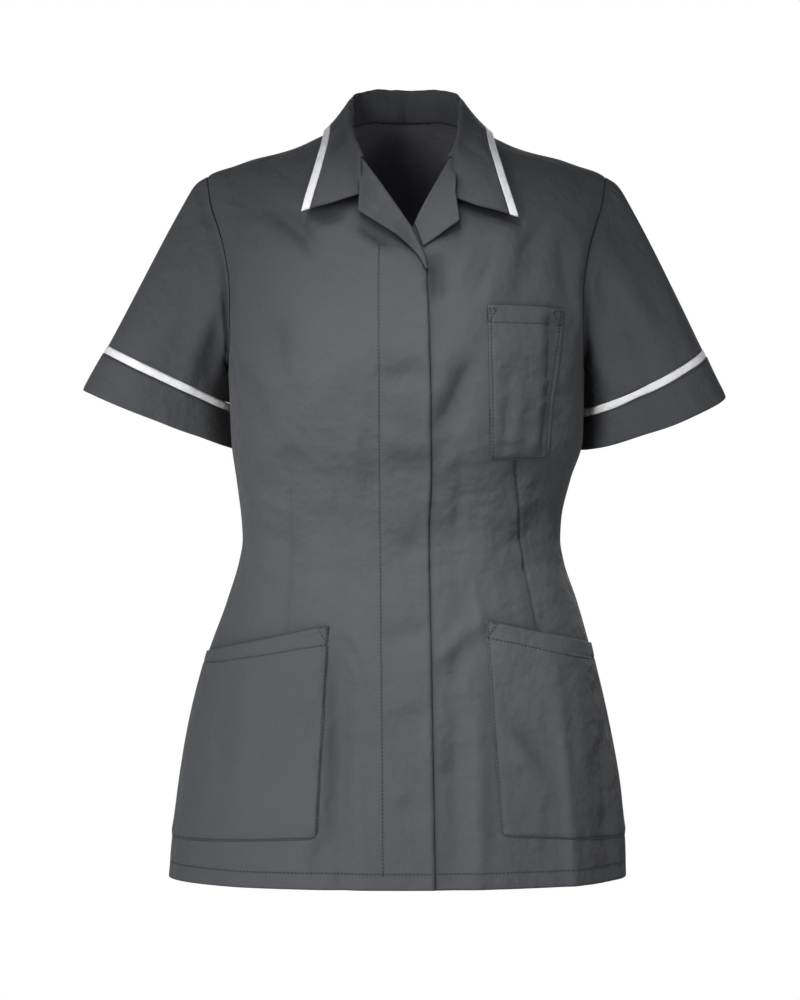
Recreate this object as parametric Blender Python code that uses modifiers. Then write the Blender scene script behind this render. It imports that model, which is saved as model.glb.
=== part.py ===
"""A short-sleeved medical tunic, filled out as if worn, with nobody in it.

Metres, +Z up. +X is the wearer's left, the tunic faces -Y, and the origin is where the
wearer's shoulders hold it up: midway between them, level with the top of the side neck.
Each sewn piece is a thin wall of cloth: a lofted grid of points with a Solidify modifier.
"""

import math

import bpy
import numpy as np

# Driving dimensions
WALL = 0.0012  # thickness of the cloth walls
SEAM_GAP = 0.0003  # between pieces that are sewn edge to edge
LAYER = 0.0019  # from the underside of one layer to the underside of the next
HEM_Z = -0.712
UNDERARM_Z = -0.235
SIDE_NECK_X = 0.064
ROUNDNESS = 2.2  # power of the superellipse that a level section of the body follows
SHOULDER_ROLL = 0.110  # height over which the body turns in to the shoulder line
TRIM_WIDTH = 0.0075
BODY_ROWS = 18  # from the hem to the underarm
ARMHOLE_ROWS = 12  # from the underarm to the shoulder
FRONT_COLUMNS = 13
BACK_COLUMNS = 22
SLEEVE_RINGS = 8
FLY_ROWS = BODY_ROWS + 7
FLY_COLUMNS = 4
RISE_FROM_X = -0.066  # from here the right front rises to the level of the fly
RISE_WIDTH = 0.040
RISE_TOP_Z = -0.055
SEAM_STRIP = 0.0034  # of a sleeve that runs on in the body's surface before it turns out
SEAM_TURN = 0.0040
UNDERARM_BEND = math.radians(95)
CAP_PULL = 0.25  # how strongly a sleeve keeps its first direction at the shoulder
UNDERARM_PULL = 0.45
FALL_ROWS = 5
CORNER_SHARE = 0.36  # of the way down the collar's front end, where its free edge starts
FALL_DECAY = 1.3
PATH_SAMPLES = 40
LAPEL_ROWS = 4
LAPEL_DROP = 0.0012
LAPEL_COLUMNS = 8
HIP_POCKET_ROWS = 9
CHEST_POCKET_ROWS = 7
CHEST_POCKET_FULLNESS = 0.0025

# Level sections of the body: z, centre_x, half_width, centre_y, front_depth, back_depth
BODY_SECTIONS = (
    (-0.714, -0.0081, 0.2163, 0.001, 0.135, 0.128),
    (-0.679, -0.0071, 0.2145, 0.002, 0.135, 0.126),
    (-0.655, -0.0066, 0.2112, 0.002, 0.135, 0.124),
    (-0.622, -0.0062, 0.2072, 0.003, 0.134, 0.121),
    (-0.565, -0.0065, 0.1972, 0.004, 0.132, 0.111),
    (-0.508, -0.0060, 0.1832, 0.006, 0.127, 0.097),
    (-0.451, -0.0038, 0.1651, 0.008, 0.119, 0.080),
    (-0.413, -0.0043, 0.1532, 0.009, 0.115, 0.070),
    (-0.394, -0.0043, 0.1503, 0.010, 0.115, 0.067),
    (-0.375, -0.0043, 0.1513, 0.010, 0.118, 0.066),
    (-0.337, -0.0024, 0.1579, 0.012, 0.130, 0.068),
    (-0.299, 0.0010, 0.1660, 0.013, 0.143, 0.074),
    (-0.235, 0.0005, 0.1675, 0.013, 0.148, 0.086),
    (-0.200, 0.0, 0.1725, 0.011, 0.140, 0.092),
    (-0.150, 0.0, 0.1820, 0.009, 0.122, 0.096),
    (-0.100, 0.0, 0.1910, 0.008, 0.108, 0.097),
    (-0.050, 0.0, 0.2000, 0.008, 0.096, 0.100),
    (0.025, 0.0, 0.2050, 0.008, 0.080, 0.106),
)
# The shoulder line, and its run in under the collar: distance from the centre, z
SHOULDER_LINE = (
    (0.0, 0.024),
    (0.042, 0.009),
    (0.064, -0.004),
    (0.079, -0.0105),
    (0.104, -0.022),
    (0.120, -0.027),
    (0.145, -0.033),
    (0.164, -0.0395),
    (0.181, -0.045),
    (0.190, -0.050),
)
# The armhole edge: z, distance from the centre
ARMHOLE_EDGE = (
    (-0.235, 0.1675),
    (-0.200, 0.1655),
    (-0.160, 0.1655),
    (-0.125, 0.1700),
    (-0.098, 0.1775),
    (-0.077, 0.1845),
    (-0.050, 0.1890),
)
# Inner edge of the right front, down the stitching of the fly and up the neck: z, x
RIGHT_FRONT_EDGE = (
    (-0.714, -0.0210),
    (-0.609, -0.0200),
    (-0.452, -0.0262),
    (-0.302, -0.0250),
    (-0.206, -0.0262),
    (-0.140, -0.0252),
    (-0.075, -0.0240),
    (-0.058, -0.0290),
    (-0.042, -0.0410),
    (-0.030, -0.0485),
    (-0.014, -0.0590),
    (-0.004, -0.0640),
)
# Free edge of the fly, which rolls back from the bottom of the neck opening: z, x
FLY_EDGE = (
    (-0.714, 0.0262),
    (-0.505, 0.0226),
    (-0.382, 0.0206),
    (-0.336, 0.0225),
    (-0.206, 0.0205),
    (-0.144, 0.0188),
    (-0.124, 0.0120),
    (-0.105, 0.0040),
    (-0.070, -0.0195),
)
# Inner edge of the left front, which runs on under the fly: z, x
LEFT_FRONT_EDGE = (
    (-0.714, -0.0160),
    (-0.180, -0.0160),
    (-0.140, -0.0110),
    (-0.105, 0.0060),
    (-0.070, 0.0245),
    (-0.042, 0.0420),
    (-0.030, 0.0490),
    (-0.014, 0.0590),
    (-0.004, 0.0640),
)
# The back neck seam: distance from the centre, z
BACK_NECK_SEAM = ((0.0, 0.0075), (0.030, 0.0065), (0.050, 0.0010), (0.064, -0.0040))
# The broad swells and folds. Each runs from one end to the other across the cloth, with a
# half width and a height, which is below zero for a trough.
# face, x_from, z_from, x_to, z_to, half_width, height
FOLDS = (
    ("front", -0.088, -0.225, -0.084, -0.245, 0.062, 0.0060),
    ("front", 0.088, -0.225, 0.084, -0.245, 0.062, 0.0060),
    ("front", -0.150, -0.070, -0.075, -0.150, 0.020, -0.0030),
    ("front", 0.092, -0.120, 0.060, -0.200, 0.016, 0.0022),
    ("front", 0.125, -0.095, 0.105, -0.165, 0.018, -0.0024),
    ("front", 0.060, -0.235, 0.036, -0.300, 0.014, -0.0026),
    ("front", -0.108, -0.320, -0.110, -0.470, 0.012, -0.0022),
    ("front", 0.103, -0.330, 0.122, -0.470, 0.012, -0.0026),
    ("front", -0.064, -0.505, -0.070, -0.680, 0.014, -0.0034),
    ("front", 0.056, -0.480, 0.052, -0.712, 0.013, 0.0034),
    ("front", 0.052, -0.440, 0.046, -0.600, 0.012, -0.0020),
    ("front", 0.132, -0.510, 0.158, -0.700, 0.020, 0.0042),
    ("front", -0.140, -0.540, -0.150, -0.712, 0.022, 0.0034),
    ("back", -0.080, -0.270, -0.074, -0.520, 0.013, -0.0026),
    ("back", 0.080, -0.270, 0.074, -0.520, 0.013, -0.0026),
    ("back", -0.125, -0.110, -0.060, -0.190, 0.020, -0.0028),
    ("back", 0.118, -0.120, 0.064, -0.215, 0.022, -0.0030),
    ("back", -0.040, -0.350, 0.050, -0.376, 0.012, 0.0026),
    ("back", 0.030, -0.520, 0.050, -0.712, 0.022, 0.0040),
    ("back", -0.090, -0.540, -0.120, -0.712, 0.022, 0.0036),
)
# The sleeves' ends as ellipses, at the top of the trim and at the lower edge of the cuff:
# the inner end, the outer end, half of the depth, and how far the front hangs lower
SLEEVE_RINGS_LEFT = (
    ((0.1680, 0.040, -0.268), (0.2810, 0.006, -0.213), 0.052, 0.006),
    ((0.1650, 0.046, -0.306), (0.3030, 0.006, -0.258), 0.045, 0.010),
)
SLEEVE_RINGS_RIGHT = (
    ((-0.1680, 0.040, -0.265), (-0.2825, 0.006, -0.210), 0.052, 0.004),
    ((-0.1650, 0.046, -0.307), (-0.3060, 0.006, -0.252), 0.045, 0.006),
)
# The collar from its front end, at station 0, to the middle of the back:
# seam_x, seam_z, fold_x, fold_y, fold_z, outer_x, outer_turn (degrees forward of the shoulder)
COLLAR_STATIONS = (
    (0.0420, -0.0400, 0.0402, -0.0682, -0.0375, 0.0968, 68.5),
    (0.0497, -0.0280, 0.0475, -0.0540, -0.0215, 0.0925, 52.0),
    (0.0588, -0.0145, 0.0516, -0.0270, -0.0010, 0.0845, 33.0),
    (0.0640, -0.0040, 0.0528, 0.0060, 0.0195, 0.0770, 6.0),
    (0.0560, -0.0013, 0.0480, 0.0400, 0.0330, 0.0725, -29.0),
    (0.0300, 0.0065, 0.0270, 0.0600, 0.0390, 0.0460, -45.0),
    (0.0000, 0.0075, 0.0000, 0.0650, 0.0395, 0.0000, -56.0),
)
LEFT_LEAF_EXTRA = 0.0075  # the wearer's left leaf reaches this much further out
# Where the collar's free edge leaves the lapel: distance from the centre, z
COLLAR_CORNERS = {-1: (0.0430, -0.0720), 1: (0.0448, -0.0745)}
COLLAR_STEPS = 5  # columns from one station to the next
FOLD_RADIUS = 0.0018
COLLAR_LIFT = 0.0038  # underside of the collar's fall above the body
STAND_GAP = 0.0022
# Lapels, from the bottom of the neck opening to the gorge: the line they roll on, and their
# outer edge with its corner, as x, z; then the lift of the underside above the body
RIGHT_LAPEL = (
    ((0.0117, -0.1245), (0.0044, -0.1058), (-0.0395, -0.0435)),
    ((0.0100, -0.1290), (-0.0422, -0.0921), (-0.0415, -0.0470)),
    0.0042,
)
LEFT_LAPEL = (
    ((0.0085, -0.1040), (0.0200, -0.0820), (0.0405, -0.0430)),
    ((0.0155, -0.1235), (0.0483, -0.0978), (0.0434, -0.0735), (0.0410, -0.0470)),
    0.0027,
)
LAPEL_TUCK = 0.0016  # how far a lapel's rolled edge turns in past the edge below it
# Hip pockets: the inner edge as z, x, then z of the bottom at the inner edge and the side,
# the top edge as share of the way to the side and z, the fullness and the lift
RIGHT_HIP_POCKET = (
    ((-0.6656, -0.0815), (-0.4717, -0.0706)),
    (-0.6656, -0.6737),
    ((0.0, -0.4717), (0.3, -0.4765), (0.7, -0.4890), (1.0, -0.5020)),
    0.0030,
    0.0020,
)
LEFT_HIP_POCKET = (
    ((-0.6634, 0.0862), (-0.4674, 0.0727)),
    (-0.6634, -0.6730),
    ((0.0, -0.4674), (0.3, -0.4710), (0.7, -0.4850), (1.0, -0.4970)),
    0.0045,
    0.0024,
)
# Chest pocket: its bottom and top, then its edges as z, x
CHEST_POCKET_ENDS = (-0.3185, -0.1795)
CHEST_POCKET_INNER = ((-0.3185, 0.0757), (-0.2750, 0.0747), (-0.1795, 0.0726))
CHEST_POCKET_OUTER = ((-0.3185, 0.1306), (-0.2740, 0.1324), (-0.2220, 0.1394), (-0.1795, 0.1446))
CHEST_POCKET_LIFT = 0.0025
POCKET_SIDE_MARGIN = 0.15  # of a column, short of the side seam

COLLECTION = "medical_tunic"
CHARCOAL = (0.115, 0.120, 0.131)
WHITE = (0.86, 0.87, 0.87)


def curve(points):
    """A smooth function through (level, value) points that never swings past them, and is
    held level beyond its ends."""
    levels = np.array([point[0] for point in points])
    values = np.array([point[1] for point in points])
    steps = np.diff(values) / np.diff(levels)
    slopes = np.concatenate([steps[:1], steps[:-1] + steps[1:], steps[-1:]])
    bends = steps[:-1] * steps[1:] > 0
    slopes[1:-1][~bends] = 0
    slopes[1:-1][bends] = 2 * (steps[:-1] * steps[1:])[bends] / slopes[1:-1][bends]

    def at(level):
        level = min(max(level, levels[0]), levels[-1])
        i = min(int(np.searchsorted(levels, level, side="right")) - 1, len(levels) - 2)
        span = levels[i + 1] - levels[i]
        t = (level - levels[i]) / span
        start = (1 + 2 * t) * (1 - t) ** 2 * values[i] + t * (1 - t) ** 2 * span * slopes[i]
        end = t * t * (3 - 2 * t) * values[i + 1] + t * t * (t - 1) * span * slopes[i + 1]
        return float(start + end)

    return at


def column(rows, place):
    """The curve of one column of a table against its first column."""
    return curve([(row[0], row[place]) for row in rows])


def mix(a, b, share):
    return a + (b - a) * share


def unit(vector):
    return vector / max(np.linalg.norm(vector), 1e-12)


def smooth_step(value):
    value = min(max(value, 0.0), 1.0)
    return value * value * (3 - 2 * value)


centre_x = column(BODY_SECTIONS, 1)
half_width = column(BODY_SECTIONS, 2)
centre_y = column(BODY_SECTIONS, 3)
front_depth = column(BODY_SECTIONS, 4)
back_depth = column(BODY_SECTIONS, 5)
shoulder_z = curve(SHOULDER_LINE)
armhole_x = curve(ARMHOLE_EDGE)
right_front_x = curve(RIGHT_FRONT_EDGE)
fly_edge_x = curve(FLY_EDGE)
left_front_x = curve(LEFT_FRONT_EDGE)
back_neck_z = curve(BACK_NECK_SEAM)


def body_y(x, z, face):
    """Depth of the plain body, before its folds, on one face."""
    across = min(abs(x - centre_x(z)) / half_width(z), 1.0)
    reach = (1 - across**ROUNDNESS) ** (1 / ROUNDNESS)
    drop = min(max((shoulder_z(abs(x)) - z) / SHOULDER_ROLL, 0.0), 1.0)
    roll = math.sqrt(1 - (1 - drop) ** 2)
    depth = -front_depth(z) if face == "front" else back_depth(z)
    return centre_y(z) + depth * reach * roll


def fold_height(x, z, face):
    """How far the folds lift the cloth at a place."""
    height = 0.0
    for fold_face, x_from, z_from, x_to, z_to, half, rise in FOLDS:
        if fold_face != face:
            continue
        run = np.array((x_to - x_from, z_to - z_from))
        length = np.linalg.norm(run)
        offset = np.array((x - x_from, z - z_from))
        along = min(max(float(offset @ run) / length**2, 0.0), 1.0)
        away = np.linalg.norm(offset - along * run)
        height += rise * math.exp(-((away / half) ** 2))
    return height


def outward(points, normals):
    """Normals turned away from the body's upright axis, taken over the whole grid."""
    away = points - np.array((0.0, 0.01, 0.0))
    away[..., 2] = 0
    return normals if (normals * away).sum() > 0 else -normals


def grid_normals(points):
    """Outward unit normals at each point of a grid on the body."""
    normals = np.cross(np.gradient(points, axis=1), np.gradient(points, axis=0))
    normals /= np.linalg.norm(normals, axis=2, keepdims=True)
    return outward(points, normals)


def top_z(x, face):
    """Where a panel ends at the top: the shoulder seam or, on the back, the neck seam."""
    if face == "back" and abs(x) < SIDE_NECK_X:
        return back_neck_z(abs(x))
    return shoulder_z(abs(x))


def row_z(row, x, face):
    """Height of a row where it crosses x: level up to the underarm, then bent to the shoulder."""
    if row <= BODY_ROWS:
        return mix(HEM_Z, UNDERARM_Z, row / BODY_ROWS)
    turn = (row - BODY_ROWS) / ARMHOLE_ROWS
    return mix(UNDERARM_Z, top_z(x, face), (1 - math.cos(math.pi * turn)) / 2)


def side_x(z, side):
    """Where the side seam or, above it, the armhole runs."""
    if z <= UNDERARM_Z:
        return centre_x(z) + side * half_width(z)
    return side * armhole_x(z) + centre_x(UNDERARM_Z)


def on_row(row, edge, face):
    """x where a row meets an edge that is given as x for z."""
    x = edge(row_z(row, 0.12, face))
    for _ in range(30):
        x = edge(row_z(row, x, face))
    return x


def angle_at(x, z):
    across = min(abs(x - centre_x(z)) / half_width(z), 1.0)
    return math.copysign(math.asin(across ** (ROUNDNESS / 2)), x - centre_x(z))


def body_row(row, x_start, x_end, columns, face):
    """One row of points between two edges, spread by angle round the section."""
    z_start = row_z(row, x_start, face)
    z_end = row_z(row, x_end, face)
    first, last = angle_at(x_start, z_start), angle_at(x_end, z_end)
    points = []
    for k in range(columns + 1):
        angle = mix(first, last, k / columns)
        z = mix(z_start, z_end, k / columns)
        reach = math.copysign(abs(math.sin(angle)) ** (2 / ROUNDNESS), angle)
        x = centre_x(z) + half_width(z) * reach
        if k == 0:
            x = x_start
        if k == columns:
            x = x_end
        z = row_z(row, x, face)
        points.append((x, body_y(x, z, face), z))
    return points


def panel(rows, start, end, columns, face, lift=None):
    """A grid of points on the body between two edges, each given as x for z."""
    plain = []
    for row in rows:
        plain.append(body_row(row, on_row(row, start, face), on_row(row, end, face), columns, face))
    plain = np.array(plain)
    rise = np.array([[fold_height(x, z, face) for x, _, z in line] for line in plain])
    if lift:
        rise += np.array([[lift(x, z) for x, _, z in line] for line in plain])
    return plain + grid_normals(plain) * rise[..., None]


def drawn_in(points, bottom=0.0, top=0.0, start=0.0, end=0.0):
    """The grid with its edges moved in by these distances, along its own columns and rows."""
    points = points.copy()
    for across, distances in ((False, (bottom, top)), (True, (start, end))):
        grid = points.transpose(1, 0, 2) if across else points
        for edge, inner, distance in ((0, 1, distances[0]), (-1, -2, distances[1])):
            step = grid[inner] - grid[edge]
            length = np.maximum(np.linalg.norm(step, axis=1, keepdims=True), 1e-9)
            grid[edge] = grid[edge] + step * distance / length
    return points


def cloth(name, points, material, ring=False):
    """A wall of cloth on a grid of points, which thickens away from the hollow inside."""
    rows, columns = points.shape[:2]
    faces = []
    away = 0.0
    for i in range(rows - 1):
        for j in range(columns if ring else columns - 1):
            k = (j + 1) % columns
            faces.append((i * columns + j, i * columns + k, (i + 1) * columns + k, (i + 1) * columns + j))
            a, b, c, d = points[i, j], points[i, k], points[i + 1, k], points[i + 1, j]
            middle = (a + b + c + d) / 4
            axis = points[i].mean(axis=0) if ring else np.array((0.0, 0.01, middle[2]))
            away += np.cross(c - a, d - b) @ (middle - axis)
    mesh = bpy.data.meshes.new(name)
    mesh.from_pydata(points.reshape(-1, 3).tolist(), [], faces)
    if away < 0:
        mesh.flip_normals()
    mesh.shade_smooth()
    mesh.materials.append(material)
    piece = bpy.data.objects.new(name, mesh)
    bpy.data.collections[COLLECTION].objects.link(piece)
    solidify = piece.modifiers.new("wall", "SOLIDIFY")
    solidify.thickness = WALL
    solidify.offset = 1
    solidify.use_even_offset = False
    return piece


def material_of(name, colour, roughness):
    material = bpy.data.materials.new(name)
    material.use_nodes = True
    shader = material.node_tree.nodes["Principled BSDF"]
    shader.inputs["Base Color"].default_value = (*colour, 1)
    shader.inputs["Roughness"].default_value = roughness
    shader.inputs["Metallic"].default_value = 0
    return material


def under_fly(x, z):
    """The fly lies on the left front."""
    return LAYER


def beside_fly(x, z):
    """The right front rises to lie level with the fly, and not above its top."""
    return LAYER * smooth_step((x - RISE_FROM_X) / RISE_WIDTH) * smooth_step((RISE_TOP_Z - z) / RISE_WIDTH)


def body_panels():
    """Points of the two fronts, the fly and the back, up to their seam lines."""
    whole = range(BODY_ROWS + ARMHOLE_ROWS + 1)
    to_right, to_left = (lambda z: side_x(z, -1)), (lambda z: side_x(z, 1))
    return {
        "front_right": panel(whole, right_front_x, to_right, FRONT_COLUMNS, "front", beside_fly),
        "front_left": panel(whole, left_front_x, to_left, FRONT_COLUMNS, "front"),
        "fly": panel(range(FLY_ROWS + 1), right_front_x, fly_edge_x, FLY_COLUMNS, "front", under_fly),
        "back": panel(whole, to_right, to_left, BACK_COLUMNS, "back"),
    }


def armhole_loop(front, back, side):
    """Points round an armhole, from the underarm up the front and down the back, with the
    cloth's normal and the direction out of the armhole at each."""
    back_column = 0 if side < 0 else -1
    rows = range(BODY_ROWS, BODY_ROWS + ARMHOLE_ROWS + 1)
    front_normals, back_normals = grid_normals(front), grid_normals(back)
    up = [(front[row, -1], front_normals[row, -1]) for row in rows]
    down = [(back[row, back_column], back_normals[row, back_column]) for row in rows]
    ends = [((up[k][0] + down[k][0]) / 2, unit(up[k][1] + down[k][1])) for k in (0, -1)]
    loop = [ends[0]] + up[1:-1] + [ends[1]] + down[-2:0:-1]
    points = np.array([point for point, _ in loop])
    normals = np.array([normal for _, normal in loop])
    along = np.roll(points, -1, axis=0) - np.roll(points, 1, axis=0)
    out = np.cross(along, normals)
    out /= np.linalg.norm(out, axis=1, keepdims=True)
    if out[len(points) // 2, 0] * side < 0:
        out = -out
    return points, normals, out


def sleeve_ring(ring, count):
    """Points round one ring of a sleeve, from its inner end round by the front."""
    inner, outer, half_depth, front_drop = ring
    middle = mix(np.array(inner), np.array(outer), 0.5)
    reach = np.array(outer) - middle
    points = []
    for k in range(count):
        turn = 2 * math.pi * k / count
        drop = front_drop * max(math.sin(turn), 0.0)
        points.append(middle - reach * math.cos(turn) - np.array((0.0, half_depth * math.sin(turn), drop)))
    return np.array(points)


def sleeve_points(loop, rings):
    """Rings of a sleeve from the armhole to the trim. The cloth first runs on out of the
    body's own surface, then turns outwards: not at the shoulder, and sharply underarm."""
    points, normals, out = loop
    count = len(points)
    top, lower = (sleeve_ring(ring, count) for ring in rings)
    share = (1 + np.cos(2 * np.pi * np.arange(count) / count))[:, None] / 2
    bend = UNDERARM_BEND * share
    start_way = np.cos(bend) * out + np.sin(bend) * normals
    end_way = (lower - top) / np.linalg.norm(lower - top, axis=1, keepdims=True)
    seam = points + out * SEAM_GAP
    strip = points + out * SEAM_STRIP
    start = strip + start_way * SEAM_TURN
    end = top - end_way * SEAM_GAP
    length = np.linalg.norm(end - start, axis=1, keepdims=True)
    grid = [seam, strip]
    for k in range(SLEEVE_RINGS + 1):
        t = k / SLEEVE_RINGS
        grid.append(
            start * (1 + 2 * t) * (1 - t) ** 2
            + start_way * mix(CAP_PULL, UNDERARM_PULL, share) * length * t * (1 - t) ** 2
            + end * t * t * (3 - 2 * t)
            + end_way * length * t * t * (t - 1)
        )
    return np.array(grid)


def cuff_points(rings, count, start, end, rows):
    """Rings between two distances below the top of the trim, or to the lower edge."""
    top, lower = (sleeve_ring(ring, count) for ring in rings)
    length = np.linalg.norm(lower - top, axis=1, keepdims=True)
    grid = []
    for k in range(rows + 1):
        first = start / length
        last = 1.0 if end is None else end / length
        grid.append(mix(top, lower, mix(first, last, k / rows)))
    return np.array(grid)


def upper_point(x, turn):
    """A point of the body above the bust, by its turn forward of the shoulder line."""
    z = shoulder_z(abs(x)) - SHOULDER_ROLL * (1 - math.cos(turn))
    reach = (1 - min(abs(x - centre_x(z)) / half_width(z), 1.0) ** ROUNDNESS) ** (1 / ROUNDNESS)
    depth = front_depth(z) if turn > 0 else back_depth(z)
    return np.array((x, centre_y(z) - depth * reach * math.sin(turn), z))


def upper_lifted(x, turn, lift):
    """The same point lifted off the body."""
    step = 1e-3
    across = upper_point(x + step, turn) - upper_point(x - step, turn)
    over = upper_point(x, turn + step) - upper_point(x, turn - step)
    return upper_point(x, turn) + unit(np.cross(over, across)) * lift


def turn_at(x, z):
    drop = min(max((shoulder_z(abs(x)) - z) / SHOULDER_ROLL, 0.0), 1.0)
    return math.acos(1 - drop)


def collar_column(station, side):
    """Points of the collar from its seam up the stand, over the fold and down the fall."""
    seam_x, seam_z, fold_x, fold_y, fold_z, outer_x, outer_turn = (
        curve([(k, row[place]) for k, row in enumerate(COLLAR_STATIONS)])(station) for place in range(7)
    )
    outer_x += LEFT_LEAF_EXTRA * (1 - station / (len(COLLAR_STATIONS) - 1)) * (side > 0)
    outer_turn = math.radians(outer_turn)
    if station < 3:
        seam_x = -right_front_x(seam_z)
        seam_turn = turn_at(seam_x, seam_z)
    else:
        seam_z = back_neck_z(seam_x)
        seam_turn = -turn_at(seam_x, seam_z)
    seam = upper_point(seam_x, seam_turn)
    fold = np.array((fold_x, fold_y, fold_z))
    outer = upper_lifted(outer_x, outer_turn, COLLAR_LIFT)
    rise = unit(fold - seam)
    reach = outer - fold
    reach = unit(reach - rise * (reach @ rise))
    stand_top = fold - reach * FOLD_RADIUS - rise * FOLD_RADIUS
    fall_top = fold + reach * FOLD_RADIUS - rise * FOLD_RADIUS
    stand = [mix(seam + rise * STAND_GAP, stand_top, share) for share in (0.0, 0.5, 1.0)]

    corner_x, corner_z = COLLAR_CORNERS[side]
    corner = (corner_x, turn_at(corner_x, corner_z))
    straightness = smooth_step(station / 0.9)
    base = upper_lifted(seam_x, seam_turn, COLLAR_LIFT)
    path = []
    for k in range(PATH_SAMPLES + 1):
        share = k / PATH_SAMPLES
        plain = (mix(seam_x, outer_x, share), mix(seam_turn, outer_turn, share))
        if share < CORNER_SHARE:
            bent = [mix(a, b, share / CORNER_SHARE) for a, b in zip((seam_x, seam_turn), corner)]
        else:
            rest = (share - CORNER_SHARE) / (1 - CORNER_SHARE)
            bent = [mix(a, b, rest) for a, b in zip(corner, (outer_x, outer_turn))]
        x, turn = (mix(b, p, straightness) for b, p in zip(bent, plain))
        carried = (1 - share) ** FALL_DECAY
        path.append(upper_lifted(x, turn, COLLAR_LIFT) + (fall_top - base) * carried)
    path = np.array(path)
    distance = np.concatenate([[0.0], np.cumsum(np.linalg.norm(np.diff(path, axis=0), axis=1))])

    def along(wanted):
        return np.array([np.interp(wanted, distance, path[:, axis]) for axis in range(3)])

    end = distance[-1] - TRIM_WIDTH
    fall = [along(end * k / FALL_ROWS) for k in range(FALL_ROWS + 1)]
    trim = [along(end + SEAM_GAP), along(distance[-1])]
    mirror = np.array((side, 1.0, 1.0))
    return np.array([*stand, fold, *fall]) * mirror, np.array(trim) * mirror


def collar_points():
    """Grids of the collar and of its trim, from the wearer's right end to the left end."""
    last = len(COLLAR_STATIONS) - 1
    collar, trim = [], []
    for k in range(-last * COLLAR_STEPS, last * COLLAR_STEPS + 1):
        column, edge = collar_column(last - abs(k) / COLLAR_STEPS, -1 if k < 0 else 1)
        collar.append(column)
        trim.append(edge)
    return np.array(collar).transpose(1, 0, 2), np.array(trim).transpose(1, 0, 2)


def along_line(points, share):
    """A point along a line of corners, by share of its length."""
    points = np.array(points)
    distance = np.concatenate([[0.0], np.cumsum(np.linalg.norm(np.diff(points, axis=0), axis=1))])
    return np.array([np.interp(share * distance[-1], distance, points[:, k]) for k in range(points.shape[1])])


def lapel_points(lapel):
    roll, outer, lift = lapel
    plain, lifts = [], []
    for k in range(LAPEL_COLUMNS + 1):
        start = along_line(roll, k / LAPEL_COLUMNS)
        end = along_line(outer, k / LAPEL_COLUMNS)
        tucked = start - unit(end - start) * LAPEL_TUCK
        line = [tucked] + [mix(start, end, j / LAPEL_ROWS) for j in range(LAPEL_ROWS + 1)]
        plain.append([(x, body_y(x, z, "front"), z) for x, z in line])
        lifts.append([lift - LAPEL_DROP] + [lift] * (LAPEL_ROWS + 1))
    plain = np.array(plain)
    return plain + grid_normals(plain) * np.array(lifts)[..., None]


def row_at(points, place, z):
    """The row of a panel, with a fraction, where its column at `place` has this height."""
    j = min(int(place), len(points[0]) - 2)
    heights = mix(points[:, j, 2], points[:, j + 1, 2], place - j)
    return float(np.interp(z, heights, np.arange(len(heights))))


def place_at(points, x, z):
    """The column of a panel, with a fraction, that passes through x at this height."""
    place = len(points[0]) / 2
    for _ in range(8):
        row = row_at(points, place, z)
        i = min(int(row), len(points) - 2)
        line = mix(points[i], points[i + 1], row - i)[:, 0]
        order = 1 if line[-1] > line[0] else -1
        place = float(np.interp(order * x, order * line, np.arange(len(line))))
    return place


def on_panel(values, row, place):
    """What a panel's grid holds between its points, as its flat faces have it."""
    i = min(int(row), len(values) - 2)
    j = min(int(place), len(values[0]) - 2)
    low = mix(values[i, j], values[i, j + 1], place - j)
    high = mix(values[i + 1, j], values[i + 1, j + 1], place - j)
    return mix(low, high, row - i)


def pocket_points(front, rows, lift, fullness, inner_x, outer_x, height):
    """A pocket on a front, whose columns are the front's own between its two edges.

    The edges give x for z, and the outer one is None at the side seam. `height` gives z for
    the shares of the way up and out.
    """
    normals = grid_normals(front)
    ends = []
    for k in range(rows + 1):
        z_inner, z_outer = height(k / rows, 0.0), height(k / rows, 1.0)
        first = place_at(front, inner_x(z_inner), z_inner)
        last = FRONT_COLUMNS - POCKET_SIDE_MARGIN
        if outer_x:
            last = place_at(front, outer_x(z_outer), z_outer)
        ends.append((first, last))
    start = math.ceil(max(first for first, _ in ends) + 0.3)
    stop = math.floor(min(last for _, last in ends) - 0.3)
    grid = []
    for k, (first, last) in enumerate(ends):
        line = []
        for place in (first, *range(start, stop + 1), last):
            out = (place - first) / (last - first)
            row = row_at(front, place, height(k / rows, out))
            gape = math.sin(math.pi * out) * math.sin(math.pi * min(0.85 * k / rows, 0.5))
            rise = unit(on_panel(normals, row, place)) * (lift + fullness * gape)
            line.append(on_panel(front, row, place) + rise)
        grid.append(line)
    return np.array(grid)


def hip_pocket_points(pocket, front):
    inner_x, bottom_z, top_edge, fullness, lift = pocket
    top = curve(top_edge)

    def height(up, out):
        return mix(mix(*bottom_z, out), top(out), up)

    return pocket_points(front, HIP_POCKET_ROWS, lift, fullness, curve(inner_x), None, height)


def chest_pocket_points(front):
    bottom, top = CHEST_POCKET_ENDS
    inner_x, outer_x = curve(CHEST_POCKET_INNER), curve(CHEST_POCKET_OUTER)

    def height(up, out):
        return mix(bottom, top, up)

    lift, fullness = CHEST_POCKET_LIFT, CHEST_POCKET_FULLNESS
    return pocket_points(front, CHEST_POCKET_ROWS, lift, fullness, inner_x, outer_x, height)


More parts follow.
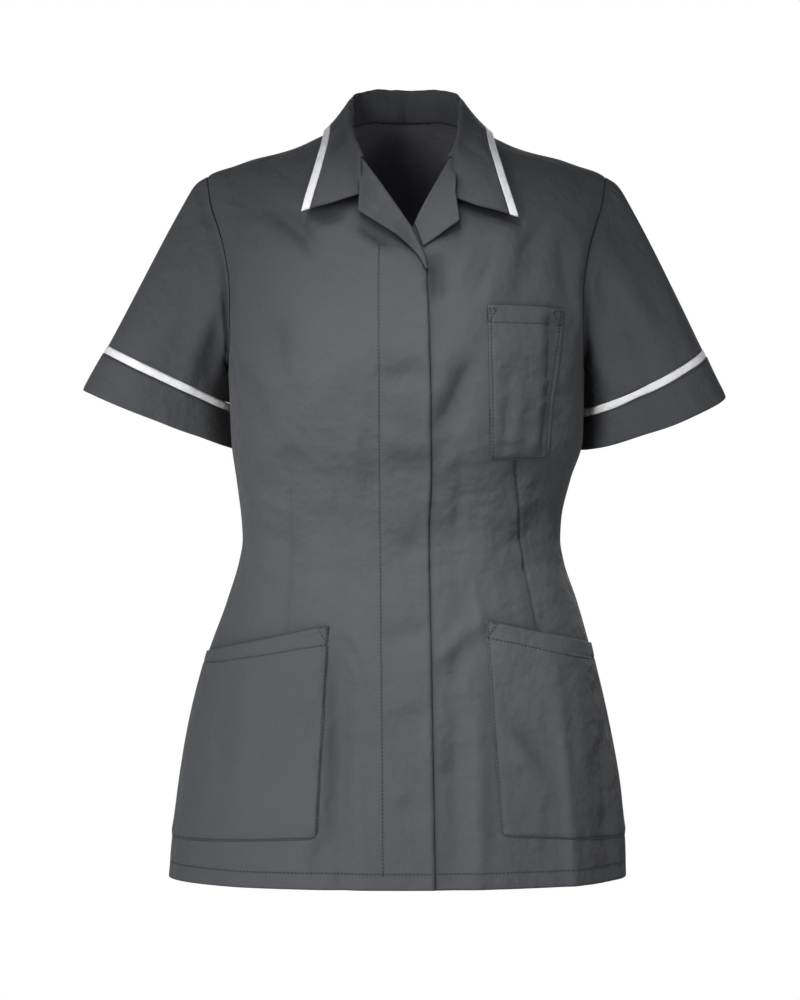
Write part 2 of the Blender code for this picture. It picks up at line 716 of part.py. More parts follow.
def main():
    for old in list(bpy.data.objects):
        bpy.data.objects.remove(old)
    bpy.context.scene.collection.children.link(bpy.data.collections.new(COLLECTION))
    charcoal = material_of("charcoal_polycotton", CHARCOAL, 0.8)
    white = material_of("white_trim", WHITE, 0.6)

    panels = body_panels()
    half_gap = SEAM_GAP / 2
    seams = {
        "front_right": {"top": half_gap, "end": half_gap},
        "front_left": {"top": half_gap, "end": half_gap},
        "fly": {"start": SEAM_GAP},
        "back": {"top": half_gap, "start": half_gap, "end": half_gap},
    }
    for name, points in panels.items():
        cloth(name, drawn_in(points, **seams[name]), charcoal)

    for name, side, rings in (("right", -1, SLEEVE_RINGS_RIGHT), ("left", 1, SLEEVE_RINGS_LEFT)):
        loop = armhole_loop(panels["front_" + name], panels["back"], side)
        count = len(loop[0])
        cloth("sleeve_" + name, sleeve_points(loop, rings), charcoal, ring=True)
        cloth("sleeve_trim_" + name, cuff_points(rings, count, 0.0, TRIM_WIDTH, 1), white, ring=True)
        cuff = cuff_points(rings, count, TRIM_WIDTH + SEAM_GAP, None, 3)
        cloth("cuff_" + name, cuff, charcoal, ring=True)

    collar, collar_trim = collar_points()
    cloth("collar", collar, charcoal)
    cloth("collar_trim", collar_trim, white)
    cloth("lapel_right", lapel_points(RIGHT_LAPEL), charcoal)
    cloth("lapel_left", lapel_points(LEFT_LAPEL), charcoal)
    cloth("hip_pocket_right", hip_pocket_points(RIGHT_HIP_POCKET, panels["front_right"]), charcoal)
    cloth("hip_pocket_left", hip_pocket_points(LEFT_HIP_POCKET, panels["front_left"]), charcoal)
    cloth("chest_pocket", chest_pocket_points(panels["front_left"]), charcoal)


main()
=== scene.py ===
"""The looks of a short-sleeved medical tunic: fine shells of cloth on the solids' own forms,
with creases, seams and stitching, in a plain studio.

Metres, +Z up. +X is the wearer's left, the tunic faces -Y, and the origin is where the
wearer's shoulders hold it up. Lines on the tunic are given as x and z, because it is seen
and sewn from the front or the back.
"""

import math

import bpy
import numpy as np
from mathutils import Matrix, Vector
from mathutils.bvhtree import BVHTree


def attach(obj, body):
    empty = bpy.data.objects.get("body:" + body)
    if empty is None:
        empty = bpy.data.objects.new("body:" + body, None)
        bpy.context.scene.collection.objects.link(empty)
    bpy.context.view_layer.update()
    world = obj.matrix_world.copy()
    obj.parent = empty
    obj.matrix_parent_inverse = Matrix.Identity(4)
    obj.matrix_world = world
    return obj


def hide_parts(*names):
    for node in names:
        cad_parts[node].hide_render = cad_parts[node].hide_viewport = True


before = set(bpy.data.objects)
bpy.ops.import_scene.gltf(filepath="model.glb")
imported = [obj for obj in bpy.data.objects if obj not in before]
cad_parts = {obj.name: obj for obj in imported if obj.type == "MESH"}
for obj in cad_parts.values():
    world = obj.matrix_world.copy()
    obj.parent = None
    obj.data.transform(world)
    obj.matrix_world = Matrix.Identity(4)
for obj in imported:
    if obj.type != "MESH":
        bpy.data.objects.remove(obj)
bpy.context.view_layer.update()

# The solids' own forms
HEM_Z = -0.712
UNDERARM_Z = -0.235
SIDE_NECK_X = 0.064
ROUNDNESS = 2.2
SHOULDER_ROLL = 0.110
BODY_ROWS = 18
ARMHOLE_ROWS = 12
RISE_FROM_X = -0.066
RISE_WIDTH = 0.040
RISE_TOP_Z = -0.055
SEAM_GAP = 0.0003
SEAM_STRIP = 0.0034
SEAM_TURN = 0.0040
UNDERARM_BEND = math.radians(95)
CAP_PULL = 0.25
UNDERARM_PULL = 0.15
TRIM_WIDTH = 0.0075
COLLAR_LIFT = 0.0038
STAND_GAP = 0.0008
FOLD_RADIUS = 0.0018
CORNER_SHARE = 0.36
FALL_DECAY = 1.3
PATH_SAMPLES = 60
LEFT_LEAF_EXTRA = 0.0075
SIDE_MARGIN = 0.0115  # share of a front's turn that a hip pocket keeps short of the side seam
SIDES = {"right": -1, "left": 1}

# The cloth
CLOTH = 0.0009
POCKET_CLOTH = 0.0011
CUFF_CLOTH = 0.0013
COLLAR_CLOTH = 0.0014
COLLAR_TRIM_CLOTH = 0.0015
LAYER = 0.0012  # one layer of cloth on another
SIDE_ROLL = (0.0009, 0.0028)  # drop and width of the edges' turn at the side seams
FINE_BODY_ROWS = 190
FINE_ARMHOLE_ROWS = 96  # a multiple of ARMHOLE_ROWS
FRONT_COLUMNS = 104
BACK_COLUMNS = 150
SLEEVE_ROWS = 64
SLEEVE_GIRTH = 0.32
FOLDS_KEPT = 0.4  # share of a sleeve's folds that goes on into the trim and the cuff
CUFF_ROWS = 24
TRIM_ROWS = 6

# The tables from here to the darts' are in tenths of a millimetre.
# Level sections of the body: z, centre_x, half_width, centre_y, front_depth, back_depth
BODY_SECTIONS = (
    (-7140, -81, 2163, 10, 1350, 1280),
    (-6790, -71, 2145, 20, 1350, 1260),
    (-6550, -66, 2112, 20, 1350, 1240),
    (-6220, -62, 2072, 30, 1340, 1210),
    (-5650, -65, 1972, 40, 1320, 1110),
    (-5080, -60, 1832, 60, 1270, 970),
    (-4510, -38, 1651, 80, 1190, 800),
    (-4130, -43, 1532, 90, 1150, 700),
    (-3940, -43, 1503, 100, 1150, 670),
    (-3750, -43, 1513, 100, 1180, 660),
    (-3370, -24, 1579, 120, 1300, 680),
    (-2990, 10, 1660, 130, 1430, 740),
    (-2350, 5, 1675, 130, 1480, 860),
    (-2000, 0, 1725, 110, 1400, 920),
    (-1500, 0, 1820, 90, 1220, 960),
    (-1000, 0, 1910, 80, 1080, 970),
    (-500, 0, 2000, 80, 960, 1000),
    (250, 0, 2050, 80, 800, 1060),
)
# Lines of the body: the shoulder's x and z, the back neck's x and z, then z and x
SHOULDER_LINE = (
    (0, 240), (420, 90), (640, -40), (790, -105), (1040, -220), (1200, -270), (1450, -330),
    (1640, -395), (1810, -450), (1900, -500),
)
BACK_NECK_SEAM = ((0, 75), (300, 65), (500, 10), (640, -40))
ARMHOLE_EDGE = (
    (-2350, 1675), (-2000, 1655), (-1600, 1655), (-1250, 1700), (-980, 1775), (-770, 1845),
    (-500, 1890),
)
# The seam line where the right front's neck meets the collar, and runs on down the fly
NECK_EDGE = (
    (-7140, -210), (-1400, -252), (-750, -240), (-580, -290), (-420, -410), (-300, -485),
    (-140, -590), (-40, -640),
)
# The free edge of the right front, with the fly, then up the neck
RIGHT_FRONT_EDGE = (
    (-7140, 262), (-5050, 226), (-3820, 206), (-3360, 225), (-2060, 205), (-1440, 188),
    (-1240, 120), (-1050, 20), (-700, -215), *NECK_EDGE[-5:],
)
LEFT_FRONT_EDGE = (
    (-7140, -160), (-1800, -160), (-1400, -110), (-1050, 60), (-700, 245), (-420, 420),
    (-300, 490), (-140, 590), (-40, 640),
)
# Broad swells and folds, as in the solids: x and z of one end and the other, half width, height
FOLDS = {
    "front": (
        (-880, -2250, -840, -2450, 620, 60),
        (880, -2250, 840, -2450, 620, 60),
        (-1500, -700, -750, -1500, 200, -30),
        (920, -1200, 600, -2000, 160, 22),
        (1250, -950, 1050, -1650, 180, -24),
        (600, -2350, 360, -3000, 140, -26),
        (-1080, -3200, -1100, -4700, 120, -22),
        (1030, -3300, 1220, -4700, 120, -26),
        (-640, -5050, -700, -6800, 140, -34),
        (560, -4800, 520, -7120, 130, 34),
        (520, -4400, 460, -6000, 120, -20),
        (1320, -5100, 1580, -7000, 200, 42),
        (-1400, -5400, -1500, -7120, 220, 34),
    ),
    "back": (
        (-800, -2700, -740, -5200, 130, -26),
        (800, -2700, 740, -5200, 130, -26),
        (-1250, -1100, -600, -1900, 200, -28),
        (1180, -1200, 640, -2150, 220, -30),
        (-400, -3500, 500, -3760, 120, 26),
        (300, -5200, 500, -7120, 220, 40),
        (-900, -5400, -1200, -7120, 220, 36),
    ),
}
# Finer creases, laid in the same way
CREASES = {
    "front": (
        (-547, -979, -24, -1297, 70, -57),
        (-903, -979, -472, -913, 70, -44),
        (1705, -918, 1655, -2282, 130, 50),
        (-1519, -920, -1531, -2780, 100, 33),
        (200, -3611, 189, -4972, 60, -13),
        (-1343, -689, -709, -1358, 110, -67),
        (-1506, -825, -884, -1506, 120, 39),
        (-1196, -1690, -1130, -2597, 130, -65),
        (-1414, -1644, -1369, -2551, 120, 26),
        (-330, -2650, -330, -3850, 110, -28),
        (-477, -2730, -477, -3750, 80, 15),
        (656, -2189, 235, -3057, 88, -46),
        (480, -2130, 100, -2900, 90, 22),
        (279, -1240, 301, -1850, 85, -78),
        (1456, -958, 1501, -1866, 100, -51),
        (1300, -3120, 1240, -4100, 130, -44),
        (1102, -3220, 1033, -3900, 90, 23),
        (-558, -4500, -580, -6950, 120, -52),
        (-734, -4632, -814, -6784, 80, 31),
        (-822, -5339, -855, -5848, 90, -35),
        (-784, -6589, -829, -6929, 90, -31),
        (820, -4680, 280, -5330, 100, -40),
        (654, -4608, 201, -5117, 70, 31),
        (492, -5050, 482, -6960, 125, -58),
        (654, -5097, 674, -6960, 80, 26),
        (850, -5450, 1470, -6100, 105, -36),
        (782, -5586, 1280, -6186, 80, 31),
        (1740, -4897, 1880, -6924, 140, -75),
        (1445, -4692, 1588, -6924, 90, 23),
        (-648, -1452, -152, -1948, 140, -20),
        (1299, -872, 1101, -1678, 100, -29),
        (-1238, -898, -642, -1742, 60, 14),
        (-658, -1220, -262, -1530, 80, -14),
        (-1526, -916, -1254, -1784, 80, 18),
        (1450, -784, 930, -1466, 70, -20),
        (1057, -970, 883, -1800, 60, 15),
        (878, -1041, 592, -1859, 60, -18),
        (682, -1062, 458, -1658, 60, 11),
        (1602, -1990, 1378, -2610, 80, 20),
        (-1650, -1982, -1130, -2688, 100, 20),
        (-1536, -2328, -1164, -3072, 80, -14),
        (-655, -4731, -295, -5239, 50, -23),
        (-606, -4874, -334, -5346, 50, 14),
        (-485, -4984, -440, -7000, 80, 14),
        (-362, -5444, -340, -6900, 60, -10),
        (586, -4104, 734, -5096, 50, 18),
        (1274, -4618, 1520, -7060, 45, 23),
        (1394, -4753, 1640, -7060, 60, -20),
        (1706, -5208, 1840, -7000, 80, 20),
        (-978, -5056, -1202, -6544, 120, -14),
        (-1586, -5044, -1734, -6656, 100, -18),
        (-1353, -3854, -807, -4126, 70, -14),
        (1378, -3774, 782, -4046, 60, -18),
        (1426, -4083, 954, -4257, 60, -13),
        (-1448, -3474, -952, -3746, 70, 14),
        (-1421, -4186, -999, -4334, 60, 11),
        (1426, -3481, 954, -3679, 70, 14),
        (528, -2844, 442, -4456, 80, -18),
        (812, -3180, 688, -4420, 80, 14),
        (-677, -2832, -503, -4568, 90, -14),
        (-433, -1656, -507, -3144, 80, -10),
    ),
    "back": (
        (-1238, -916, -642, -1784, 80, 20),
        (1158, -1216, 762, -2084, 80, 20),
        (-188, -768, -312, -2132, 120, -14),
        (-1296, -3610, -304, -3510, 70, -25),
        (-1208, -3755, -92, -3805, 60, 18),
        (-1144, -3950, 344, -4050, 80, -24),
        (194, -3376, 1286, -3624, 70, -23),
        (-114, -4299, 1064, -4101, 80, -22),
        (-1392, -2952, -958, -3448, 90, -20),
        (1430, -2958, 910, -3392, 90, -19),
        (110, -4996, 200, -6900, 90, -29),
        (-588, -5208, -700, -7000, 90, -25),
        (1176, -5208, 1400, -7000, 100, -29),
    ),
}
# Darts, whose seams are sunk into the cloth: x and z of the points, half width, height
DARTS = {
    "front": (
        (((-1068, -3160), (-1070, -3390), (-1081, -4170), (-1112, -4800)), 14, -13),
        (((1000, -2900), (1010, -3230), (1058, -3740), (1112, -4175), (1240, -4800)), 14, -26),
    ),
    "back": (
        (((-840, -2500), (-780, -3700), (-800, -5400)), 15, -18),
        (((840, -2500), (780, -3700), (800, -5400)), 15, -18),
    ),
}
STUD_Z = (-0.2240, -0.3034, -0.3826, -0.4618, -0.5407, -0.6196)
STUD_X = -0.0010
STUD_RADIUS = 0.0044

# A sleeve's ends at the trim and at the cuff's edge: the inner and the outer point, the half
# depth, and how far the front hangs lower
SLEEVE_RINGS = {
    1: (
        ((0.1680, 0.040, -0.268), (0.2810, 0.006, -0.213), 0.052, 0.009),
        ((0.1650, 0.046, -0.306), (0.3030, 0.006, -0.258), 0.045, 0.010),
    ),
    -1: (
        ((-0.1680, 0.040, -0.265), (-0.2825, 0.006, -0.210), 0.052, 0.001),
        ((-0.1650, 0.046, -0.307), (-0.3060, 0.006, -0.252), 0.045, 0.002),
    ),
}
# A sleeve's folds: turn round the sleeve from its inner end by the front, as a share, and
# the share of the way down, of one end and the other, then half width, height
SLEEVE_FOLDS = {
    1: (
        (0.245, 0.25, 0.235, 1.00, 0.016, -0.0064),
        (0.13, 0.30, 0.14, 1.00, 0.011, 0.0030),
        (0.28, 0.20, 0.27, 1.00, 0.012, 0.0030),
        (0.36, 0.10, 0.36, 1.00, 0.012, -0.0016),
        (0.30, 0.00, 0.29, 1.00, 0.012, 0.0016),
        (0.41, 0.30, 0.38, 1.00, 0.014, -0.0018),
        (0.60, 0.10, 0.64, 1.00, 0.014, 0.0022),
        (0.72, 0.20, 0.70, 1.00, 0.012, -0.0024),
        (0.86, 0.15, 0.84, 1.00, 0.012, 0.0024),
    ),
    -1: (
        (0.155, 0.30, 0.15, 1.00, 0.015, -0.0052),
        (0.20, 0.20, 0.20, 1.00, 0.012, 0.0036),
        (0.23, 0.10, 0.24, 1.00, 0.012, -0.0018),
        (0.35, 0.05, 0.33, 1.00, 0.014, 0.0018),
        (0.43, 0.40, 0.42, 1.00, 0.010, -0.0014),
        (0.62, 0.15, 0.60, 1.00, 0.014, -0.0022),
        (0.74, 0.10, 0.76, 1.00, 0.012, 0.0024),
        (0.88, 0.20, 0.86, 1.00, 0.012, -0.0024),
    ),
}
# The collar from its front end to the middle of the back: seam_x, seam_z, fold_x, fold_y,
# fold_z, outer_x, outer_turn
COLLAR_STATIONS = (
    (0.0420, -0.0400, 0.0402, -0.0682, -0.0375, 0.0917, 73.9),
    (0.0497, -0.0280, 0.0475, -0.0540, -0.0215, 0.0807, 52.0),
    (0.0588, -0.0145, 0.0516, -0.0270, -0.0010, 0.0763, 33.0),
    (0.0640, -0.0040, 0.0528, 0.0060, 0.0195, 0.0747, 6.0),
    (0.0560, -0.0013, 0.0480, 0.0400, 0.0330, 0.0725, -29.0),
    (0.0300, 0.0065, 0.0270, 0.0600, 0.0390, 0.0460, -45.0),
    (0.0000, 0.0075, 0.0000, 0.0650, 0.0395, 0.0000, -56.0),
)
COLLAR_CORNERS = {-1: (0.0409, -0.0785), 1: (0.0433, -0.0810)}
# Soft folds of the collar's fall, from one front end over the back to the other: station,
# half width, height
COLLAR_FOLDS = (
    (-5.35, 0.22, 0.0016),
    (-4.85, 0.16, -0.0012),
    (-4.30, 0.30, 0.0014),
    (-3.60, 0.24, -0.0010),
    (-1.20, 0.60, 0.0010),
    (1.60, 0.60, 0.0010),
    (3.70, 0.24, -0.0012),
    (4.40, 0.26, 0.0014),
    (4.95, 0.18, -0.0014),
    (5.45, 0.20, 0.0012),
)
# Lapels: the line they roll on, their outer edge with its corner, and the lift
LAPELS = {
    "right": (
        ((0.0186, -0.1450), (0.0155, -0.1340), (0.0110, -0.1245), (0.0026, -0.1066),
         (-0.0425, -0.0405)),
        ((0.0188, -0.1458), (0.0144, -0.1375), (0.0089, -0.1302), (0.0034, -0.1248),
         (-0.0066, -0.1165), (-0.0426, -0.0935), (-0.0412, -0.0740), (-0.0445, -0.0430)),
        0.0030,
    ),
    "left": (
        ((0.0085, -0.1040), (0.0200, -0.0820), (0.0428, -0.0400)),
        ((0.0155, -0.1235), (0.0478, -0.1020), (0.0434, -0.0760), (0.0452, -0.0430)),
        0.0019,
    ),
}
# Hip pockets: the inner edge as z, x, then z of the bottom at the inner edge and the side,
# the top edge as share of the way to the side and z, the depth of its hem there, the fullness
HIP_POCKETS = {
    "right": (
        ((-0.6656, -0.0815), (-0.4717, -0.0706)),
        (-0.6656, -0.6737),
        ((0.0, -0.4717), (1.0, -0.5000)),
        (0.0170, 0.0100),
        0.0024,
    ),
    "left": (
        ((-0.6634, 0.0862), (-0.4674, 0.0727)),
        (-0.6634, -0.6730),
        ((0.0, -0.4674), (1.0, -0.4925)),
        (0.0150, 0.0138),
        0.0036,
    ),
}
HIP_MOUTH_Z = -0.49
CHEST_POCKET_ENDS = (-0.3185, -0.1795)
CHEST_POCKET_INNER = ((-0.3185, 0.0757), (-0.2750, 0.0747), (-0.1795, 0.0726))
CHEST_POCKET_OUTER = (
    (-0.3185, 0.1306), (-0.2740, 0.1324), (-0.2220, 0.1394), (-0.1795, 0.1446)
)
CHEST_HEM_DEPTH = 0.0150
# The creases of a pocket that is used, in tenths of a millimetre as above
CHEST_POCKET_FOLDS = (
    (1190, -1900, 1165, -3050, 70, 22),
    (1310, -1950, 1270, -3050, 80, -32),
    (910, -2400, 890, -3050, 60, -16),
    (1360, -2400, 1240, -2490, 40, 10),
    (1340, -2620, 1200, -2680, 40, 10),
    (1000, -2550, 960, -3100, 60, 10),
    (780, -2700, 860, -2900, 30, 8),
)

CREASE_TAPER = 0.42
NEAR_HEM_Z = -0.69
PAST_HEM = 1.4  # how far, as a share of its length, a crease near the hem is drawn on
DART_RUNS_OUT = 0.035
SIDE_CALM = 0.016  # folds run out over this width at the side seams
STITCH = 0.0026
STITCH_PITCH = 0.0035
STITCH_THICK = 0.00036
STITCH_SIDES = 5
LINE_SPACING = 0.002  # of the places where a sewn line is laid on the cloth
# Along a stitch: the share of its length, its lift and its thickness
STITCH_FORM = ((0.0, -0.25, 0.35), (0.22, 0.55, 0.9), (0.5, 0.75, 1.0), (0.78, 0.55, 0.9),
               (1.0, -0.25, 0.35))
HEM_DEPTH = 0.0150
FLY_SEWN = (-0.122, -0.700)
SEWN_AT = 0.0022  # how far in from a pocket's edges its stitches press it down
POCKET_SEWN = 0.0018
CHEST_SEWN = (0.0016, 0.0042)


def eased(start, end, start_way, end_way, t):
    """A place or value from a start to an end, leaving and arriving along the given ways."""
    leaving = (1 + 2 * t) * (1 - t) ** 2 * start + t * (1 - t) ** 2 * start_way
    return leaving + t * t * (3 - 2 * t) * end + t * t * (t - 1) * end_way


def curve(points):
    """A smooth function through (level, value) points that never swings past them."""
    levels, values = np.array(points, float).T
    steps = np.diff(values) / np.diff(levels)
    slopes = np.concatenate([steps[:1], steps[:-1] + steps[1:], steps[-1:]])
    bends = steps[:-1] * steps[1:] > 0
    slopes[1:-1][~bends] = 0
    slopes[1:-1][bends] = 2 * (steps[:-1] * steps[1:])[bends] / slopes[1:-1][bends]

    def at(level):
        level = np.clip(level, levels[0], levels[-1])
        i = np.clip(np.searchsorted(levels, level, side="right") - 1, 0, len(levels) - 2)
        span = levels[i + 1] - levels[i]
        t = (level - levels[i]) / span
        return eased(values[i], values[i + 1], span * slopes[i], span * slopes[i + 1], t)

    return at


def mix(a, b, share):
    return a + (b - a) * share


def unit(vectors):
    return vectors / np.maximum(np.linalg.norm(vectors, axis=-1, keepdims=True), 1e-12)


def smooth_step(value):
    value = np.clip(value, 0.0, 1.0)
    return value * value * (3 - 2 * value)


def bell(distance, width):
    return np.exp(-((distance / width) ** 2))


def ripple(value, seed):
    """An uneven soft wave, for gathered and puckered edges."""
    first, second, third = value + seed, value * 1.73 + 2.1 * seed, value * 2.9 + 0.7 * seed
    return (np.sin(first) + 0.6 * np.sin(second) + 0.4 * np.sin(third)) / 2


def tenths(table):
    """A table in tenths of a millimetre, in metres."""
    return np.array(table) / 10000


def distances(points):
    """How far along it each point of a line lies, or each row of a grid."""
    steps = np.linalg.norm(np.diff(points, axis=0), axis=-1)
    return np.concatenate([np.zeros_like(steps[:1]), np.cumsum(steps, axis=0)])


def along(points, wanted, distance):
    """The places at the wanted distances along a line of points."""
    return np.stack([np.interp(wanted, distance, values) for values in points.T], -1)


centre_x, half_width, centre_y, front_depth, back_depth = (
    curve(tenths(BODY_SECTIONS)[:, [0, place]]) for place in range(1, 6)
)
shoulder_z = curve(tenths(SHOULDER_LINE))
back_neck_z = curve(tenths(BACK_NECK_SEAM))
armhole_x = curve(tenths(ARMHOLE_EDGE))
neck_x = curve(tenths(NECK_EDGE))
right_front_x = curve(tenths(RIGHT_FRONT_EDGE))
left_front_x = curve(tenths(LEFT_FRONT_EDGE))


def section_reach(x, z):
    """The share of a level section's depth that it has at x."""
    across = np.minimum(np.abs(x - centre_x(z)) / half_width(z), 1.0)
    return (1 - across**ROUNDNESS) ** (1 / ROUNDNESS)


def body_y(x, z, face):
    drop = np.clip((shoulder_z(np.abs(x)) - z) / SHOULDER_ROLL, 0.0, 1.0)
    roll = np.sqrt(1 - (1 - drop) ** 2)
    depth = -front_depth(z) if face == "front" else back_depth(z)
    return centre_y(z) + depth * section_reach(x, z) * roll


def ridge(x, z, x_from, z_from, x_to, z_to, half, rise, taper=0.0):
    """A soft ridge or trough along a line from one place to another, which may run out
    over a share of its length at both ends, though not at the hem."""
    if taper and z_to < NEAR_HEM_Z:
        x_to, z_to = mix(x_from, x_to, PAST_HEM), mix(z_from, z_to, PAST_HEM)
    run = np.array((x_to - x_from, z_to - z_from))
    share = np.clip(((x - x_from) * run[0] + (z - z_from) * run[1]) / (run @ run), 0.0, 1.0)
    away = np.hypot(x - x_from - share * run[0], z - z_from - share * run[1])
    if taper:
        rise = rise * smooth_step(share / taper) * smooth_step((1 - share) / taper)
    return rise * bell(away, half)


def relief(x, z, face, seams=True):
    """How far folds, creases and seams lift the cloth of the body at each place."""
    height = np.zeros(np.shape(x))
    for folds, taper in ((FOLDS, 0.0), (CREASES, CREASE_TAPER)):
        for fold in tenths(folds[face]):
            height = height + ridge(x, z, *fold, taper)
    for points, half, rise in DARTS[face] if seams else ():
        points = tenths(points)
        sunk = [ridge(x, z, *a, *b, half / 10000, 1.0) for a, b in zip(points, points[1:])]
        fade = smooth_step((points[0, 1] - z) / DART_RUNS_OUT)
        height = height + rise / 10000 * np.max(sunk, axis=0) * fade
    return height


def on_body(x, z, face):
    """The plain form's surface, without its folds."""
    return np.stack([x, body_y(x, z, face), z], axis=-1)


def outward(points, normals):
    """The normals turned away from the body's middle."""
    away = points - np.array((0.0, 0.01, 0.0))
    away[..., 2] = 0
    return normals if (normals * away).sum() > 0 else -normals


def grid_normals(points):
    normals = unit(np.cross(np.gradient(points, axis=1), np.gradient(points, axis=0)))
    return outward(points, normals)


def row_z(row, x, face):
    """The height of a row of the solids' own grid, from the hem to the shoulder."""
    top = shoulder_z(np.abs(x))
    if face == "back":
        top = np.where(np.abs(x) < SIDE_NECK_X, back_neck_z(np.abs(x)), top)
    turn = np.clip((row - BODY_ROWS) / ARMHOLE_ROWS, 0.0, 1.0)
    upper = mix(UNDERARM_Z, top, (1 - np.cos(np.pi * turn)) / 2)
    return np.where(row <= BODY_ROWS, mix(HEM_Z, UNDERARM_Z, row / BODY_ROWS), upper)


def side_x(z, side):
    """The side seam, and the armhole above it."""
    low = centre_x(z) + side * half_width(z)
    return np.where(z <= UNDERARM_Z, low, side * armhole_x(z) + centre_x(UNDERARM_Z))


def on_row(row, edge, face):
    """The x where an edge, given by its height, crosses a row."""
    x = edge(row_z(row, 0.12 + 0 * row, face))
    for _ in range(40):
        x = edge(row_z(row, x, face))
    return x


def angle_at(x, z):
    """The turn round the body from its middle to x, level with z."""
    across = np.minimum(np.abs(x - centre_x(z)) / half_width(z), 1.0)
    return np.copysign(np.arcsin(across ** (ROUNDNESS / 2)), x - centre_x(z))


def x_at(angle, z):
    across = np.copysign(np.abs(np.sin(angle)) ** (2 / ROUNDNESS), angle)
    return centre_x(z) + half_width(z) * across


def between(first, last, share, z):
    """The x at a share of the turn round the body from one x to another, level with z."""
    return x_at(mix(angle_at(first, z), angle_at(last, z), share), z)


def fine_rows():
    low = np.linspace(0, BODY_ROWS, FINE_BODY_ROWS + 1)
    high = np.linspace(BODY_ROWS, BODY_ROWS + ARMHOLE_ROWS, FINE_ARMHOLE_ROWS + 1)
    return np.concatenate([low, high[1:]])


def panel(start, end, columns, face, lift):
    """The fine grid of a panel. Its folds run out at the side seams, where panels meet."""
    rows = fine_rows()
    x_start, x_end = on_row(rows, start, face), on_row(rows, end, face)
    z_start, z_end = row_z(rows, x_start, face), row_z(rows, x_end, face)
    share = np.linspace(0, 1, columns + 1)[None, :]
    angle = mix(angle_at(x_start, z_start)[:, None], angle_at(x_end, z_end)[:, None], share)
    x = x_at(angle, mix(z_start[:, None], z_end[:, None], share))
    x[:, 0], x[:, -1] = x_start, x_end
    z = row_z(rows[:, None], x, face)
    plain = on_body(x, z, face)
    to_side = np.abs(plain - plain[:, -1:]).max(axis=-1)
    if face == "back":
        to_side = np.minimum(to_side, np.abs(plain - plain[:, :1]).max(axis=-1))
    rise = (relief(x, z, face) + lift(x, z)) * smooth_step(to_side / SIDE_CALM)
    return plain + grid_normals(plain) * rise[..., None]


def from_edge(grid, edge):
    """The grid seen with the named edge as its first row."""
    grid = grid if edge in ("bottom", "top") else grid.transpose(1, 0, 2)
    return grid[::-1] if edge in ("top", "end") else grid


def drawn_in(points, edges):
    """The grid with half a seam's gap left free at the named edges."""
    points = points.copy()
    for edge in edges:
        grid = from_edge(points, edge)
        grid[0] = grid[0] + unit(grid[1] - grid[0]) * SEAM_GAP / 2
    return points


def rolled(points, edges, drop, width):
    """The grid with the named edges bent down onto what lies beneath."""
    points, normals = points.copy(), grid_normals(points)
    for edge in edges:
        grid = from_edge(points, edge)
        fall = drop * np.clip(1 - distances(grid) / width, 0, 1) ** 2
        grid -= from_edge(normals, edge) * fall[..., None]
    return points


# ---- Making pieces


def set_inputs(node, **values):
    for name, value in values.items():
        node.inputs[name.replace("_", " ")].default_value = value
    return node


def material(name, base, roughness, weave, weave_depth, sheen, mottle, painted_shade_tone=0.14):
    """Woven cloth: a twill's ribs and threads as bump, a slightly uneven colour, and painted shade
    that darkens the colour in crevices and under overlapping parts.
    """
    made = bpy.data.materials.new(name)
    made.use_nodes = True
    nodes, link = made.node_tree.nodes, made.node_tree.links.new
    shader = set_inputs(nodes["Principled BSDF"], Roughness=roughness, Sheen_Weight=sheen,
                        Sheen_Roughness=0.45, Specular_IOR_Level=0.25)
    place = nodes.new("ShaderNodeTexCoord")

    def noise(scale, detail):
        node = set_inputs(nodes.new("ShaderNodeTexNoise"), Scale=scale, Detail=detail)
        link(place.outputs["Object"], node.inputs["Vector"])
        return node.outputs["Fac"]

    def ramp(value, spread):
        node = nodes.new("ShaderNodeValToRGB")
        tones = (0.3, 1 - spread), (0.7, 1 + spread)
        for element, (position, tone) in zip(node.color_ramp.elements, tones):
            element.position = position
            element.color = (*np.minimum(np.array(base) * tone, 1.0), 1)
        link(value, node.inputs["Fac"])
        return node.outputs["Color"]

    def blend(factor, how, first, second):
        node = set_inputs(nodes.new("ShaderNodeMix"), Factor=factor)
        node.data_type, node.blend_type = "RGBA", how
        link(first, node.inputs["A"])
        link(second, node.inputs["B"])
        return node.outputs["Result"]

    def bump(height, strength, distance, before=None):
        node = set_inputs(nodes.new("ShaderNodeBump"), Strength=strength, Distance=distance)
        link(height, node.inputs["Height"])
        if before:
            link(before, node.inputs["Normal"])
        return node.outputs["Normal"]

    broad, fine = ramp(noise(9.0, 3.0), mottle), ramp(noise(1400.0, 2.0), 2.2 * mottle)
    # Painted shade: ambient occlusion darkens the colour in crevices, in seams and under
    # overlapping parts such as the collar's leaves and the lapels
    occlusion_shade = set_inputs(nodes.new("ShaderNodeAmbientOcclusion"), Distance=PAINTED_SHADE_REACH)
    occlusion_shade.samples = 6
    depth = set_inputs(nodes.new("ShaderNodeMapRange"), From_Min=0.42, From_Max=0.95,
                       To_Min=painted_shade_tone, To_Max=1.0)
    link(occlusion_shade.outputs["AO"], depth.inputs["Value"])
    colour = blend(1.0, "MULTIPLY", blend(0.5, "MIX", broad, fine), depth.outputs["Result"])
    link(colour, shader.inputs["Base Color"])
    twill = set_inputs(nodes.new("ShaderNodeTexWave"), Scale=weave, Distortion=0.6, Detail=1.0)
    twill.bands_direction = "DIAGONAL"
    link(place.outputs["UV"], twill.inputs["Vector"])
    soft = bump(noise(34.0, 3.0), 0.70, 0.0085)
    ribs = bump(twill.outputs["Fac"], 0.5, weave_depth, soft)
    grain = bump(noise(1900.0, 2.0), 0.4, weave_depth, ribs)
    link(grain, shader.inputs["Normal"])
    return made


